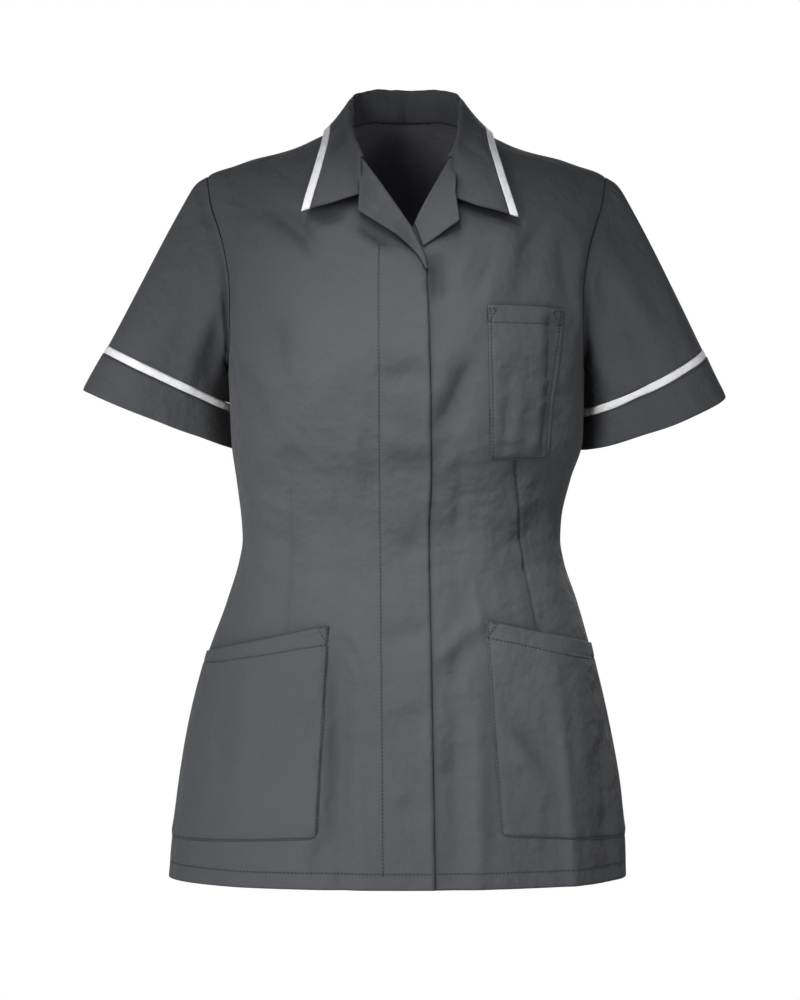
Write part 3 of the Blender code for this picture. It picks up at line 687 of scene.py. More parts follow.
# How far the painted shade in crevices reaches
PAINTED_SHADE_REACH = 0.026
CHARCOAL = (0.0775, 0.0800, 0.0868)
# Painted light: the inside faces are a lighter copy of the charcoal, which lifts the dim interior
# where little lamp light reaches
INSIDE_PAINTED_LIGHT = (0.155, 0.153, 0.177)
WHITE = (0.97, 0.972, 0.975)
THREAD = (0.035, 0.036, 0.040)
# Name, colour, roughness, the twill's scale and depth, sheen, unevenness, tone of the painted shade
# in crevices
MATERIALS = {
    "cloth": material("charcoal_twill", CHARCOAL, 0.86, 420.0, 0.00012, 0.10, 0.07),
    "inside": material("charcoal_inside_painted_light", INSIDE_PAINTED_LIGHT, 0.92, 420.0, 0.00010, 0.03, 0.05, 1.0),
    "trim": material("white_trim", WHITE, 0.6, 620.0, 0.00006, 0.50, 0.02, 1.0),
    "thread": material("charcoal_thread", THREAD, 0.6, 700.0, 0.00002, 0.1, 0.04),
}
PIECE_NAMES = {
    "sleeve_trim_right": "sleeve_right_trim",
    "sleeve_trim_left": "sleeve_left_trim",
}
pieces, trees = {}, {}


def piece_of(name, vertices, faces, uvs, kind, thickness=0.0, inside="inside"):
    mesh = bpy.data.meshes.new(name)
    mesh.from_pydata(vertices, [], faces)
    mesh.shade_smooth()
    layer = mesh.uv_layers.new(name="metres")
    loops = np.empty(len(mesh.loops), np.int32)
    mesh.loops.foreach_get("vertex_index", loops)
    layer.data.foreach_set("uv", np.asarray(uvs, np.float32)[loops].ravel())
    mesh.materials.append(MATERIALS[kind])
    piece = bpy.data.objects.new(name, mesh)
    bpy.context.scene.collection.objects.link(piece)
    if thickness:
        mesh.materials.append(MATERIALS[inside])
        solidify = piece.modifiers.new("cloth", "SOLIDIFY")
        solidify.thickness = thickness
        solidify.offset = 1
        solidify.material_offset = 1 if inside != kind else 0
        solidify.material_offset_rim = 0
    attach(piece, "root")
    return piece


def cloth(node, points, kind="cloth", ring=False, thickness=CLOTH, inside="inside", also=()):
    """A shell of cloth on a grid, which thickens away from the hollow inside, in place of
    the node and of any others named also."""
    rows, columns = points.shape[:2]
    i = np.arange(rows - 1)[:, None] * columns
    j = np.arange(columns if ring else columns - 1)[None, :]
    k = (j + 1) % columns
    faces = np.stack([i + j, i + k, i + columns + k, i + columns + j], -1).reshape(-1, 4)
    flat = points.reshape(-1, 3)
    a, b, c, d = (flat[faces[:, n]] for n in range(4))
    middle = (a + b + c + d) / 4
    if ring:
        axis = np.repeat(points.mean(axis=1)[:-1], columns, axis=0)
    else:
        axis = middle * np.array((0, 0, 1)) + np.array((0, 0.01, 0))
    if (np.cross(c - a, d - b) * (middle - axis)).sum() < 0:
        faces = faces[:, ::-1]
    u = distances(points.transpose(1, 0, 2)).T
    u = u - u[:, columns // 2][:, None]
    uvs = np.stack([u, distances(points)], axis=-1).reshape(-1, 2)
    name = PIECE_NAMES.get(node, node + "_cloth")
    pieces[node] = piece_of(name, flat.tolist(), faces.tolist(), uvs, kind, thickness, inside)
    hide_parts(node, *also)
    trees[node] = BVHTree.FromPolygons([Vector(p) for p in flat], faces.tolist())


def hit(node, x, z, face="front"):
    """The place on a piece straight behind x and z, seen from its face, and its normal."""
    way = 1 if face == "front" else -1
    place, normal, _, _ = trees[node].ray_cast(Vector((x, -0.4 * way, z)), Vector((0, way, 0)))
    if place is None:
        return None
    if normal.y * way > 0:
        normal = -normal
    return np.array(place), np.array(normal)


stitch_vertices, stitch_faces = [], []


def sew(points, normals, closed=False, top=CLOTH):
    """A row of stitches along a line of points on a piece: short threads, sunk at their ends."""
    points, normals = np.asarray(points), np.asarray(normals)
    if closed:
        points, normals = np.vstack([points, points[:1]]), np.vstack([normals, normals[:1]])
    distance = distances(points)
    count = max(int(distance[-1] / STITCH_PITCH), 1)
    starts = (np.arange(count) + 0.5) * distance[-1] / count - STITCH / 2
    first_point, last_point = (along(points, starts + way, distance) for way in (0, STITCH))
    run = unit(last_point - first_point)
    rings = []
    for share, lift, fat in STITCH_FORM:
        where = starts + share * STITCH
        normal = unit(along(normals, where, distance))
        across = unit(np.cross(run, normal))
        centre = along(points, where, distance) + normal * (top + lift * STITCH_THICK)
        for n in range(STITCH_SIDES):
            turn = 2 * math.pi * n / STITCH_SIDES
            wide, high = math.cos(turn) * 1.25 * fat, math.sin(turn) * fat
            rings.append(centre + (across * wide + normal * high) * STITCH_THICK)
    first = sum(len(v) for v in stitch_vertices)
    stitch_vertices.append(np.stack(rings, axis=1).reshape(-1, 3))
    size = len(STITCH_FORM) * STITCH_SIDES
    for base in range(first, first + count * size, size):
        for ring in range(base, base + size - STITCH_SIDES, STITCH_SIDES):
            for n in range(STITCH_SIDES):
                m = (n + 1) % STITCH_SIDES
                upper = ring + STITCH_SIDES
                stitch_faces.append((ring + n, ring + m, upper + m, upper + n))
        stitch_faces.append(tuple(base + n for n in reversed(range(STITCH_SIDES))))
        stitch_faces.append(tuple(base + size - STITCH_SIDES + n for n in range(STITCH_SIDES)))


def sew_line(node, line, face="front", top=CLOTH):
    """Stitches along a line of x and z on a piece."""
    line = np.array(line)
    distance = distances(line)
    samples = np.linspace(0, distance[-1], max(int(distance[-1] / LINE_SPACING), 2))
    found = [hit(node, float(x), float(z), face) for x, z in along(line, samples, distance)]
    found = [f for f in found if f]
    if len(found) > 1:
        sew([f[0] for f in found], [f[1] for f in found], top=top)


def finish_stitches(name):
    vertices = np.concatenate(stitch_vertices)
    piece_of(name, vertices.tolist(), stitch_faces, vertices[:, :2], "thread")
    stitch_vertices.clear()
    stitch_faces.clear()


# ---- The body


def fly_lift(x, z):
    """The right front rises over the left one, is drawn in along the fly's stitching, stands
    off at its free edge, and shows the studs under it."""
    over = smooth_step((x - RISE_FROM_X) / RISE_WIDTH)
    rise = LAYER * over * smooth_step((RISE_TOP_Z - z) / RISE_WIDTH)
    from_seam = x - neck_x(z)
    below = smooth_step((-0.118 - z) / 0.012)
    rise = rise - 0.0002 * bell(from_seam, 0.0016) * below
    on_fly = bell(from_seam - 0.010, 0.012) * below
    rise = rise + 0.00035 * on_fly * ripple(z * 110.0, 1.3)
    at_edge = bell(right_front_x(z) - x, 0.006)
    rise = rise + 0.0013 * at_edge * smooth_step((-0.150 - z) / 0.030)
    for stud_z in STUD_Z:
        away = np.hypot(x - STUD_X, z - stud_z)
        rise = rise + 0.00028 * bell(away - STUD_RADIUS, 0.0016)
    return rise


def stud_pull(x, z):
    """Both fronts bulge at each stud and sink below it, where the cloth hangs from it."""
    rise, across = np.zeros(np.shape(x)), x - STUD_X
    for stud_z in STUD_Z:
        up = z - stud_z
        rise = rise + 0.0008 * bell(across, 0.015) * bell(up, 0.010)
        rise = rise - 0.0030 * bell(across, 0.019) * bell(up + 0.019, 0.0125)
    return rise


def edge_lift(x, z):
    """The hem's sewn line, and small puckers below it."""
    above = z - HEM_Z
    puckers = 0.00025 * bell(above - 0.008, 0.010) * ripple(x * 150.0, 0.4)
    return puckers - 0.0004 * bell(above - 0.012, 0.004)


def left_lift(x, z):
    return stud_pull(x, z) + edge_lift(x, z)


def right_lift(x, z):
    return fly_lift(x, z) + left_lift(x, z)


to_right, to_left = (lambda z: side_x(z, -1)), (lambda z: side_x(z, 1))
fronts = {
    "right": panel(right_front_x, to_right, FRONT_COLUMNS, "front", right_lift),
    "left": panel(left_front_x, to_left, FRONT_COLUMNS, "front", left_lift),
}
back = panel(to_right, to_left, BACK_COLUMNS, "back", edge_lift)
right = rolled(drawn_in(fronts["right"], ["top", "end"]), ["start"], 0.0006, 0.003)
right = rolled(right, ["end"], *SIDE_ROLL)
left = rolled(drawn_in(fronts["left"], ["top", "end"]), ["end"], *SIDE_ROLL)
behind = rolled(drawn_in(back, ["top", "start", "end"]), ["start", "end"], *SIDE_ROLL)
cloth("front_right", right, also=["fly"])
cloth("front_left", left)
cloth("back", behind)


# ---- The sleeves


def armhole_loop(front, back, side):
    """The armhole's points from the underarm up the front and down the back, with the
    panels' normals and the way out of them."""
    back_column = 0 if side < 0 else -1
    up, down = front[FINE_BODY_ROWS:, -1], back[FINE_BODY_ROWS:, back_column]
    up_normals = grid_normals(front)[FINE_BODY_ROWS:, -1]
    down_normals = grid_normals(back)[FINE_BODY_ROWS:, back_column]
    ends = [((up[k] + down[k]) / 2, unit(up_normals[k] + down_normals[k])) for k in (0, -1)]
    points = np.vstack([ends[0][0], up[1:-1], ends[1][0], down[-2:0:-1]])
    normals = np.vstack([ends[0][1], up_normals[1:-1], ends[1][1], down_normals[-2:0:-1]])
    out = unit(np.cross(np.roll(points, -1, axis=0) - np.roll(points, 1, axis=0), normals))
    if out[len(points) // 2, 0] * side < 0:
        out = -out
    return points, normals, out


def sleeve_ring(ring, count):
    inner, outer, half_depth, front_drop = ring
    middle = mix(np.array(inner), np.array(outer), 0.5)
    reach = np.array(outer) - middle
    turn = 2 * np.pi * np.arange(count)[:, None] / count
    drop = front_drop * np.maximum(np.sin(turn), 0.0)
    depth = np.hstack([0 * turn, half_depth * np.sin(turn), drop])
    return middle - reach * np.cos(turn) - depth


def ring_normals(points):
    normals = unit(np.cross(
        np.roll(points, -1, axis=1) - np.roll(points, 1, axis=1), np.gradient(points, axis=0)
    ))
    away = points - points.mean(axis=1, keepdims=True)
    return normals if (normals * away).sum() > 0 else -normals


def sleeve_points(loop, rings):
    """A sleeve's grid, from a narrow strip beyond the armhole's seam down to the cuff."""
    points, normals, out = loop
    count = len(points)
    top, lower = (sleeve_ring(ring, count) for ring in rings)
    share = (1 + np.cos(2 * np.pi * np.arange(count) / count))[:, None] / 2
    bend = UNDERARM_BEND * share
    start_way = np.cos(bend) * out + np.sin(bend) * normals
    end_way = unit(lower - top)
    seam = points + out * SEAM_GAP
    strip = points + out * SEAM_STRIP
    start = strip + start_way * SEAM_TURN
    end = top - end_way * SEAM_GAP
    length = np.linalg.norm(end - start, axis=1, keepdims=True)
    grid = [mix(seam, strip, part) for part in (0, 0.35, 0.7)]
    grid += [mix(strip, start, part) for part in (0.1, 0.55)]
    leaving = start_way * mix(CAP_PULL, UNDERARM_PULL, share) * length
    for k in range(SLEEVE_ROWS + 1):
        grid.append(eased(start, end, leaving, end_way * length, k / SLEEVE_ROWS))
    return np.array(grid)


def sleeve_folds(turn, down, folds):
    """How far the folds lift a sleeve, by the share of the way round and down it."""
    height = np.zeros(np.shape(turn))
    for turn_from, down_from, turn_to, down_to, half, rise in folds:
        share = np.clip((down - down_from) / (down_to - down_from), 0, 1)
        away = (turn - mix(turn_from, turn_to, share) + 0.5) % 1.0 - 0.5
        grows = smooth_step((down - down_from + 0.15) / 0.35)
        height += rise * bell(away * SLEEVE_GIRTH, half) * grows
    return height


def sleeve_relief(points, folds, seed):
    """Folds down a sleeve, an eased cap along the armhole, and puckers above the trim."""
    rows, count = points.shape[:2]
    turn, down = np.meshgrid(np.arange(count) / count, np.linspace(0, 1, rows))
    around = turn * SLEEVE_GIRTH
    height = sleeve_folds(turn, down, folds)
    height *= mix(1.0, FOLDS_KEPT, smooth_step((down - 0.70) / 0.28))
    height += 0.0007 * bell(down - 0.20, 0.09) * (0.3 + 0.7 * np.sin(np.pi * turn))
    cap = 1.3 - np.abs(np.cos(np.pi * turn))
    height += 0.0004 * bell(down - 0.14, 0.07) * ripple(around * 260.0, seed) * cap
    height += 0.0004 * bell(down - 0.96, 0.05) * ripple(around * 180.0, seed + 1)
    height += 0.0055 * bell(np.minimum(turn, 1 - turn), 0.07) * smooth_step((down - 0.2) / 0.3)
    return points + ring_normals(points) * height[..., None]


def cuff_rows(rings, count, start, end, rows):
    """Rows of a band from one distance below the sleeve's end to another, or to its edge."""
    top, lower = (sleeve_ring(ring, count) for ring in rings)
    length = np.linalg.norm(lower - top, axis=1, keepdims=True)
    last = end / length if end else 1.0
    return np.array([mix(top, lower, mix(start / length, last, k / rows)) for k in range(rows + 1)])


def rounded(points, height, rim):
    """A band that swells a little between its two edges."""
    share = np.linspace(0, 1, len(points))[:, None, None]
    swell = np.minimum(1.0, np.minimum(share, 1 - share) / rim)
    return points + ring_normals(points) * height * np.sin(swell * np.pi / 2)


for side_name, side in SIDES.items():
    rings, folds = SLEEVE_RINGS[side], SLEEVE_FOLDS[side]
    loop = armhole_loop(fronts[side_name], back, side)
    count = len(loop[0])
    turn = np.arange(count)[None, :] / count
    at_cuff = sleeve_folds(turn, np.ones((1, count)), folds)
    sleeve = sleeve_relief(sleeve_points(loop, rings), folds, 0.8 + side)
    cloth("sleeve_" + side_name, sleeve, ring=True)

    trim = rounded(cuff_rows(rings, count, 0.0, TRIM_WIDTH, TRIM_ROWS), 0.0005, 0.30)
    trim = trim + ring_normals(trim) * (at_cuff * FOLDS_KEPT)[..., None]
    cloth("sleeve_trim_" + side_name, trim, "trim", ring=True, inside="trim")

    cuff = cuff_rows(rings, count, TRIM_WIDTH + SEAM_GAP, None, CUFF_ROWS)
    cuff = rounded(cuff, 0.0006, 0.12)
    down = np.linspace(0, 1, CUFF_ROWS + 1)[:, None]
    waves = 0.0005 * ripple(turn * 2 * np.pi * 5, 0.5 + side) * np.sin(np.pi * down)
    cuff = cuff + ring_normals(cuff) * waves[..., None]
    cuff = cuff + ring_normals(cuff) * (at_cuff * mix(FOLDS_KEPT, 0.30, down))[..., None]
    cloth("cuff_" + side_name, cuff, ring=True, thickness=CUFF_CLOTH)
    sew(cuff[1], ring_normals(cuff)[1], closed=True, top=CUFF_CLOTH)
    finish_stitches(f"sleeve_{side_name}_stitching")


# ---- The collar and lapels


def upper_point(x, turn):
    """A place on the shoulders and chest, by x and the turn over the shoulder to the front."""
    z = shoulder_z(np.abs(x)) - SHOULDER_ROLL * (1 - np.cos(turn))
    depth = np.where(turn > 0, front_depth(z), back_depth(z))
    return np.stack([x, centre_y(z) - depth * section_reach(x, z) * np.sin(turn), z], -1)


def upper_lifted(x, turn, lift):
    step = 1e-3
    across = upper_point(x + step, turn) - upper_point(x - step, turn)
    over = upper_point(x, turn + step) - upper_point(x, turn - step)
    return upper_point(x, turn) + unit(np.cross(over, across)) * lift


def turn_at(x, z):
    return np.arccos(1 - np.clip((shoulder_z(np.abs(x)) - z) / SHOULDER_ROLL, 0.0, 1.0))


# Past the middle of the back the collar's stations mirror, so that it crosses it smoothly
mirrored = tuple(value * way for value, way in zip(COLLAR_STATIONS[-2], (-1, 1, -1, 1, 1, -1, 1)))
station_curves = [
    curve([(k, row[place]) for k, row in enumerate((*COLLAR_STATIONS, mirrored))])
    for place in range(len(mirrored))
]
LAST_STATION = len(COLLAR_STATIONS) - 1
SHOULDER_STATION = 3
COLLAR_STEPS = 16  # columns from one station to the next
STAND_POINTS = 8
BEND_POINTS = 6
FALL_ROWS = 30
TRIM_POINTS = 7
COLLAR_TRIM = 0.0078
LEAF_STANDS = {-1: 0.0105, 1: 0.0075}  # how far the leaves' front corners stand off the chest
LAPEL_STANDS = 0.0085
# A lapel's turn down to the front: distance before the line it rolls on, and drop
LAPEL_TURN = ((-0.0016, 0.0016), (-0.0013, 0.0008), (-0.0008, 0.0003), (-0.0003, 0.0))


def collar_lines(station, side):
    """The collar at a station: the points of its stand and of the bend over its fold, then
    a fine line down its fall."""
    seam_x, seam_z, fold_x, fold_y, fold_z, outer_x, outer_turn = (
        float(value(station)) for value in station_curves
    )
    outer_x += LEFT_LEAF_EXTRA * (1 - station / LAST_STATION) * (side > 0)
    outer_turn = math.radians(outer_turn)
    if station < SHOULDER_STATION:
        seam_x = -float(neck_x(seam_z))
        seam_turn = float(turn_at(seam_x, seam_z))
    else:
        seam_z = float(back_neck_z(seam_x))
        seam_turn = -float(turn_at(seam_x, seam_z))
    seam = upper_point(np.array(seam_x), np.array(seam_turn))
    fold = np.array((fold_x, fold_y, fold_z))
    outer = upper_lifted(np.array(outer_x), np.array(outer_turn), COLLAR_LIFT)
    rise = unit(fold - seam)
    reach = outer - fold
    reach = unit(reach - rise * (reach @ rise))
    centre = fold - rise * FOLD_RADIUS
    stand = mix(
        seam + rise * STAND_GAP, centre - reach * FOLD_RADIUS,
        np.linspace(0, 1, STAND_POINTS)[:, None],
    )
    turns = np.linspace(0, math.pi, BEND_POINTS + 2)[1:-1, None]
    bend = centre + (rise * np.sin(turns) - reach * np.cos(turns)) * FOLD_RADIUS

    share = np.linspace(0, 1, PATH_SAMPLES + 1)
    corner_x, corner_z = COLLAR_CORNERS[side]
    place = []
    for from_seam, corner, to_outer in (
        (seam_x, corner_x, outer_x), (seam_turn, float(turn_at(corner_x, corner_z)), outer_turn)
    ):
        low = mix(from_seam, corner, np.minimum(share / CORNER_SHARE, 1))
        high = mix(corner, to_outer, np.clip((share - CORNER_SHARE) / (1 - CORNER_SHARE), 0, 1))
        bent = np.where(share < CORNER_SHARE, low, high)
        place.append(mix(bent, mix(from_seam, to_outer, share), smooth_step(station / 0.9)))
    stands = LEAF_STANDS[side if station < LAST_STATION else 1]
    proud = stands * smooth_step(share / 0.7) * (1 - smooth_step(station / 3.2))
    base = upper_lifted(np.array(seam_x), np.array(seam_turn), COLLAR_LIFT)
    carried = (centre + reach * FOLD_RADIUS - base) * ((1 - share) ** FALL_DECAY)[:, None]
    path = upper_lifted(*place, (COLLAR_LIFT + proud)[:, None]) + carried
    return np.vstack([stand, bend]), path


def collar_column(station, side, edge):
    """Points of the collar from its seam up the stand, round the fold and down the fall,
    then those of its trim, which is as wide all along the collar's outer edge."""
    upright, path = collar_lines(station, side)
    distance = distances(path)
    steps = edge[1:] - edge[:-1]
    share = ((path[:, None] - edge[:-1]) * steps).sum(-1) / (steps**2).sum(-1)
    nearest = edge[:-1] + np.clip(share, 0, 1)[..., None] * steps
    gap = np.linalg.norm(path[:, None] - nearest, axis=-1).min(axis=1)
    within = int(np.argmax(gap < COLLAR_TRIM))
    around = slice(within - 1, within + 1)
    end = float(np.interp(-COLLAR_TRIM, -gap[around], distance[around]))
    fall = along(path, np.linspace(0, end, FALL_ROWS + 1), distance)
    trim = along(path, np.linspace(end + SEAM_GAP, distance[-1], TRIM_POINTS), distance)
    mirror = np.array((side if station < LAST_STATION else 1, 1.0, 1.0))
    return np.vstack([upright, fall]) * mirror, trim * mirror


edges = {}
for side in SIDES.values():
    edge = np.array([collar_lines(k / 4, side)[1][-1] for k in range(4 * LAST_STATION + 1)])
    edges[side] = np.vstack([edge[0] + unit(edge[0] - edge[1]) * 0.03, edge])
columns = []
for k in range(-LAST_STATION * COLLAR_STEPS, LAST_STATION * COLLAR_STEPS + 1):
    side = -1 if k < 0 else 1
    columns.append(collar_column(LAST_STATION - abs(k) / COLLAR_STEPS, side, edges[side]))
collar, collar_trim = (np.array(grid).transpose(1, 0, 2) for grid in zip(*columns))
turn = np.linspace(-1, 1, collar.shape[1])[None, :] * LAST_STATION
down = np.arange(len(collar))[:, None] - (STAND_POINTS + BEND_POINTS - 1)
fall_share, stand_share = np.clip(down / FALL_ROWS, 0, 1), np.clip(-down / STAND_POINTS, 0, 1)
on_stand = smooth_step(stand_share * 1.5) * (
    0.0011 * ripple(turn * 2.6, 0.7) - 0.0006 * ripple(turn * 6.1, 2.0)
)
on_fall = sum(rise * bell(turn - where, half) for where, half, rise in COLLAR_FOLDS)
on_fall = on_fall * np.sin(np.pi * np.clip(fall_share * 1.15, 0, 1)) ** 0.7
outside = unit(np.cross(np.gradient(collar, axis=1), np.gradient(collar, axis=0)))
collar = collar + outside * (on_fall - on_stand)[..., None]
cloth("collar", collar, thickness=COLLAR_CLOTH, inside="cloth")
cloth("collar_trim", collar_trim, "trim", thickness=COLLAR_TRIM_CLOTH, inside="trim")


def along_share(points, share):
    """The places at shares of the length of a line."""
    points = np.array(points)
    distance = distances(points)
    return along(points, share * distance[-1], distance)


def lapel_points(lapel, rows=20, columns=60):
    """A lapel from the line it rolls on, where it turns down to the front, to its edge."""
    roll, outer, lift = lapel
    share = np.linspace(0, 1, columns + 1)[:, None]
    start, end = along_share(roll, share[:, 0]), along_share(outer, share[:, 0])
    away = unit(end - start) * (0.3 + 0.7 * smooth_step(share / 0.12))
    lines = [start + away * distance for distance, _ in LAPEL_TURN]
    lines += [mix(start, end, k / rows) for k in range(rows + 1)]
    x, z = np.array(lines).transpose(2, 1, 0)
    drops = np.array([drop for _, drop in LAPEL_TURN] + [0.0] * (rows + 1))
    out = np.clip((np.arange(len(lines)) - len(LAPEL_TURN)) / rows, 0, 1)
    tucked = 1 - 0.55 * smooth_step((share - 0.80) / 0.15)  # under the collar's leaf
    stands = smooth_step((share - 0.05) / 0.35) * smooth_step((0.95 - share) / 0.25)
    rise = (lift - drops) * tucked + LAPEL_STANDS * out**1.5 * stands
    plain = on_body(x, z, "front")
    return plain + grid_normals(plain) * rise[..., None]


for side_name, lapel in LAPELS.items():
    grid = rolled(lapel_points(lapel), ["end"], 0.0005, 0.003)
    cloth("lapel_" + side_name, grid, thickness=COLLAR_CLOTH, inside="cloth")


# ---- The pockets


def pocket_grid(inner_x, outer_x, height, fullness, extra, rows, columns):
    """A pocket that follows the front beneath it, and stands off it between its edges."""
    out, up = np.meshgrid(np.linspace(0, 1, columns + 1), np.linspace(0, 1, rows + 1))
    z = height(up, out)
    z_inner, z_outer = z[:, :1], z[:, -1:]
    first, last = angle_at(inner_x(z_inner), z_inner), angle_at(outer_x(z_outer), z_outer)
    x = x_at(mix(first, last, out), z)
    plain = on_body(x, z, "front")
    gape = np.sin(np.pi * out) * np.sin(np.pi * np.minimum(0.85 * up, 0.5))
    side = -1 if inner_x(-0.5) < 0 else 1
    to_side = np.maximum(np.abs(x - side_x(z, side)), np.abs(plain[..., 1] - centre_y(z)))
    rise = relief(x, z, "front", seams=False) * smooth_step(to_side / SIDE_CALM)
    rise = rise + LAYER + fullness * gape + extra(x, z, out)
    if side < 0:
        rise = rise + fly_lift(x, z)
    return plain + grid_normals(plain) * rise[..., None]


def hip_edges(side_name):
    """A hip pocket's inner edge, its outer one beside the side seam, and its mouth."""
    side = SIDES[side_name]
    inner_edge, _, top_edge, _, _ = HIP_POCKETS[side_name]

    def outer(z):
        return between(side_x(z, side), side * 0.02, SIDE_MARGIN, z)

    return curve(inner_edge), outer, curve(top_edge)


def hip_pocket(side_name):
    _, bottoms, _, hem_depth, fullness = HIP_POCKETS[side_name]
    inner, outer, top = hip_edges(side_name)

    def across(out):
        """The share of the way to the side, seen from the front."""
        first, last = inner(HIP_MOUTH_Z), outer(HIP_MOUTH_Z)
        return (between(first, last, out, HIP_MOUTH_Z) - first) / (last - first)

    def height(up, out):
        return mix(mix(*bottoms, across(out)), top(across(out)), up)

    def extra(x, z, out):
        """The stitched hem, the sewn edges, and the mouth that stands off the front."""
        out = across(out)
        below, from_edge = top(out) - z, np.abs(x - inner(z))
        sewn = bell(from_edge - SEWN_AT, 0.0014) + bell(z - mix(*bottoms, out) - SEWN_AT, 0.0014)
        hem = bell(below - mix(*hem_depth, out), 0.0013)
        mouth = 0.0018 * np.exp(-below / 0.016) * np.sin(np.pi * np.clip(out, 0, 1)) ** 0.5
        pull = 0.0003 * ripple(z * 210.0, 1.0 + SIDES[side_name]) * bell(from_edge, 0.010)
        return mouth + pull - 0.0007 * np.minimum(sewn, 1) - 0.0006 * hem

    grid = pocket_grid(inner, outer, height, fullness, extra, 100, 80)
    return rolled(grid, ["bottom", "start"], 0.0011, 0.003)


CHEST_BOTTOM, CHEST_TOP = CHEST_POCKET_ENDS
chest_inner, chest_outer = curve(CHEST_POCKET_INNER), curve(CHEST_POCKET_OUTER)


def chest_extra(x, z, out):
    """The chest pocket's hem, sewn edges, mouth and creases."""
    below = CHEST_TOP - z
    edge = np.minimum(np.minimum(x - chest_inner(z), chest_outer(z) - x), z - CHEST_BOTTOM)
    mouth = 0.0016 * np.exp(-below / 0.014) * np.sin(np.pi * out) ** 0.5
    folds = sum(ridge(x, z, *fold) for fold in tenths(CHEST_POCKET_FOLDS))
    sunk = 0.0006 * bell(edge - SEWN_AT, 0.0013) + 0.0005 * bell(below - CHEST_HEM_DEPTH, 0.0012)
    return mouth + folds * smooth_step(edge / 0.006) - sunk


def chest_pocket():
    grid = pocket_grid(
        chest_inner, chest_outer, lambda up, out: mix(CHEST_BOTTOM, CHEST_TOP, up),
        0.0018, chest_extra, 90, 56,
    )
    return rolled(grid, ["bottom", "start", "end"], 0.0010, 0.003)


for side_name in SIDES:
    cloth("hip_pocket_" + side_name, hip_pocket(side_name), thickness=POCKET_CLOTH)
cloth("chest_pocket", chest_pocket(), thickness=POCKET_CLOTH)


# ---- The stitching


def line_down(edge, offset, z_from, z_to):
    return [(float(edge(z)) + offset, z) for z in np.linspace(z_from, z_to, 60)]


def sew_pocket(node, *lines):
    for line in lines:
        sew_line(node, line, top=POCKET_CLOTH)


def mouth_corner(edge, z, way, width):
    """The stitched triangle that holds a corner of a pocket's mouth."""
    x = float(edge(z))
    return [
        (x + way * POCKET_SEWN, z - 0.0165), (x + way * width, z - SEWN_AT),
        (x + way * POCKET_SEWN, z - POCKET_SEWN),
    ]


hem_z = HEM_Z + HEM_DEPTH
sew_line("front_right", line_down(neck_x, 0.0, *FLY_SEWN))
sew_line("front_right", [(float(right_front_x(hem_z)) - 0.003, hem_z), (-0.221, hem_z)])
sew_line("front_left", [(float(left_front_x(hem_z)), hem_z), (0.206, hem_z)])
sew_line("back", [(-0.215, hem_z), (0.200, hem_z)], "back")
finish_stitches("front_stitching")

for side_name, side in SIDES.items():
    _, bottoms, top_edge, hem_depth, _ = HIP_POCKETS[side_name]
    inner, outer, top = hip_edges(side_name)
    z_top, z_low = top_edge[0][1], bottoms[0] + POCKET_SEWN

    def at_hem(share):
        z = float(top(share)) - mix(*hem_depth, share)
        return float(mix(inner(z), outer(z), share)), z

    low = [
        (float(mix(inner(z_low), outer(z_low), share)), mix(*bottoms, share) + POCKET_SEWN)
        for share in (0.03, 0.5, 0.985)
    ]
    low[0] = (float(inner(z_low)) + side * POCKET_SEWN, low[0][1])
    sew_pocket(
        "hip_pocket_" + side_name,
        [at_hem(share) for share in np.linspace(0.01, 0.985, 40)],
        line_down(inner, side * POCKET_SEWN, z_top - 0.002, z_low),
        low,
        mouth_corner(inner, z_top, side, 0.0105),
    )


def chest_row(z, inset):
    return [(float(chest_inner(z)) + inset, z), (float(chest_outer(z)) - inset, z)]


z_low, z_high = CHEST_BOTTOM + CHEST_SEWN[0], CHEST_TOP - 0.002
sew_pocket(
    "chest_pocket",
    mouth_corner(chest_inner, CHEST_TOP, 1, 0.0100),
    mouth_corner(chest_outer, CHEST_TOP, -1, 0.0100),
    line_down(chest_inner, CHEST_SEWN[0], z_high, z_low),
    line_down(chest_inner, CHEST_SEWN[1], z_high, z_low),
    line_down(chest_outer, -CHEST_SEWN[0], z_high, z_low),
    chest_row(z_low, CHEST_SEWN[0]),
    chest_row(CHEST_TOP - CHEST_HEM_DEPTH, 0.001),
)
finish_stitches("pocket_stitching")


# ---- The studio

CAMERA_DISTANCE = 3.2
VIEW_HEIGHT = 0.95
FLOOR = 64, 3, -1.4  # corners, radius, z
scene = bpy.context.scene
scene.view_settings.view_transform = "Standard"
camera = bpy.data.cameras.new("camera")
camera.sensor_width = 36
camera.lens = 36 * CAMERA_DISTANCE / VIEW_HEIGHT
camera.clip_end = 50
eye = bpy.data.objects.new("camera", camera)
eye.location = (-0.0057, -CAMERA_DISTANCE, -0.35625)
eye.rotation_euler = (math.radians(90), 0, 0)
scene.collection.objects.link(eye)
scene.camera = eye

# The cloth is lit by a dim sky, and the camera sees a white one
world = bpy.data.worlds.new("studio")
scene.world = world
world.use_nodes = True
nodes, link = world.node_tree.nodes, world.node_tree.links.new
nodes.clear()
output = nodes.new("ShaderNodeOutputWorld")
seen = set_inputs(nodes.new("ShaderNodeBackground"), Color=(1, 1, 1, 1))
dim = set_inputs(nodes.new("ShaderNodeBackground"), Color=(0.93, 0.95, 1.0, 1), Strength=0.11)
by_camera, either = nodes.new("ShaderNodeLightPath"), nodes.new("ShaderNodeMixShader")
link(by_camera.outputs["Is Camera Ray"], either.inputs["Fac"])
link(dim.outputs["Background"], either.inputs[1])
link(seen.outputs["Background"], either.inputs[2])
link(either.outputs["Shader"], output.inputs["Surface"])

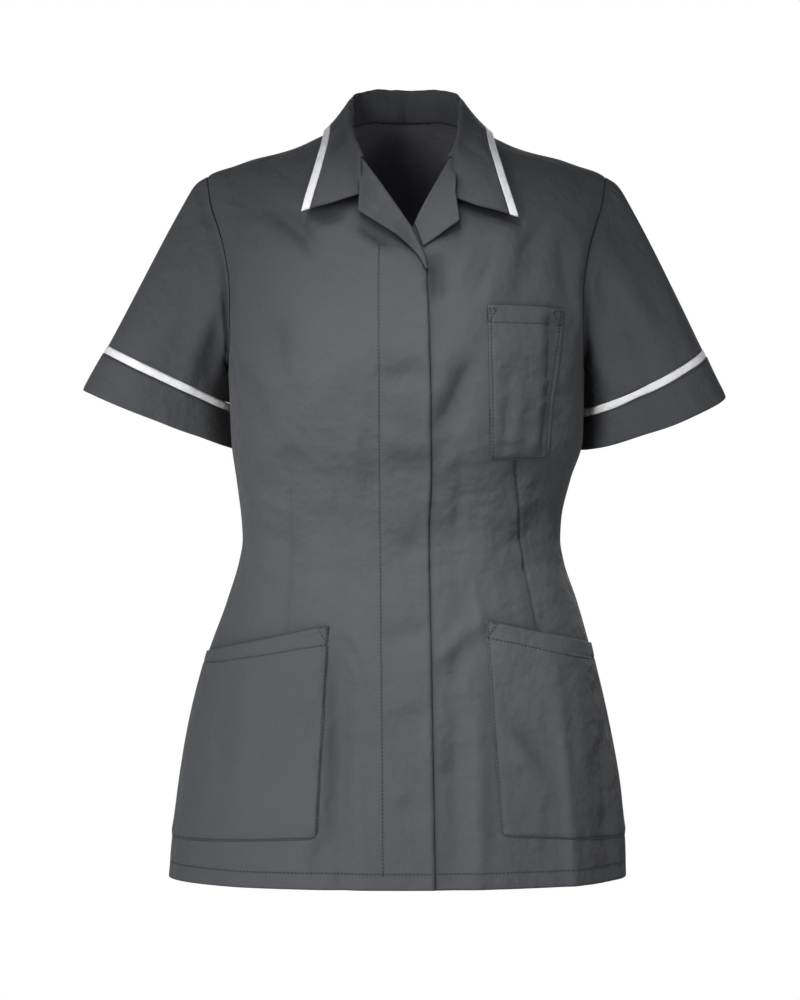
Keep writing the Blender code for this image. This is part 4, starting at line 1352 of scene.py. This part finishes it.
# Soft lamps: place, target, size, power
LAMPS = {
    "key": ((-1.15, -2.7, -0.50), (0.0, 0.0, -0.42), 0.9, 15),
    "key_high": ((-1.3, -2.5, 0.35), (0.0, 0.0, -0.35), 0.9, 11),
    "side_right": ((1.4, -2.5, -0.4), (0.0, 0.0, -0.40), 0.9, 9),
    "side_left": ((-2.4, -1.3, -0.4), (0.0, 0.0, -0.45), 0.8, 15),
    "back": ((0.6, 2.6, 0.6), (0.0, 0.0, -0.35), 1.6, 30),
}
# Spot lamps with a soft rim: place, target, angle, power, size
BEAMS = {
    "chest_beam": ((-0.30, -1.35, 0.95), (0.035, -0.13, -0.26), 18, 54, 0.05),
    "steep_beam": ((-0.12, -0.75, 1.05), (0.01, -0.13, -0.20), 15, 25, 0.04),
    "belly_beam": ((-0.40, -1.70, 0.75), (0.02, -0.13, -0.56), 22, 78, 0.10),
    "pocket_beam": ((-0.8, -2.6, -0.5), (-0.11, -0.10, -0.68), 8, 75, 0.15),
    "hem_beam": ((-0.9, -2.6, -0.5), (0.08, -0.12, -0.70), 7, 75, 0.15),
    "sleeve_beam": ((1.5, -2.4, -0.2), (0.24, -0.03, -0.20), 10, 45, 0.15),
    "cuff_beam": ((-1.5, -2.4, -0.7), (-0.27, -0.03, -0.27), 7.5, 135, 0.15),
}


def put_up(light, place, target, power):
    light.energy = power
    lamp = bpy.data.objects.new(light.name, light)
    lamp.location = place
    lamp.rotation_euler = (Vector(target) - Vector(place)).to_track_quat("-Z", "Y").to_euler()
    scene.collection.objects.link(lamp)


for name, (place, target, size, power) in LAMPS.items():
    light = bpy.data.lights.new(name, "AREA")
    light.shape, light.size = "SQUARE", size
    put_up(light, place, target, power)
for name, (place, target, angle, power, size) in BEAMS.items():
    light = bpy.data.lights.new(name, "SPOT")
    light.spot_size, light.spot_blend, light.shadow_soft_size = math.radians(angle), 1.0, size
    put_up(light, place, target, power)

floor_mesh = bpy.data.meshes.new("floor")
corners, radius, floor_z = FLOOR
turns = [2 * math.pi * k / corners for k in range(corners)]
rim = [(radius * math.cos(turn), radius * math.sin(turn), floor_z) for turn in turns]
floor_mesh.from_pydata(rim, [], [tuple(range(corners))])
floor = bpy.data.objects.new("floor", floor_mesh)
scene.collection.objects.link(floor)
pale = bpy.data.materials.new("floor")
pale.use_nodes = True
set_inputs(pale.node_tree.nodes["Principled BSDF"], Base_Color=(0.85, 0.85, 0.85, 1), Roughness=0.9)
floor_mesh.materials.append(pale)
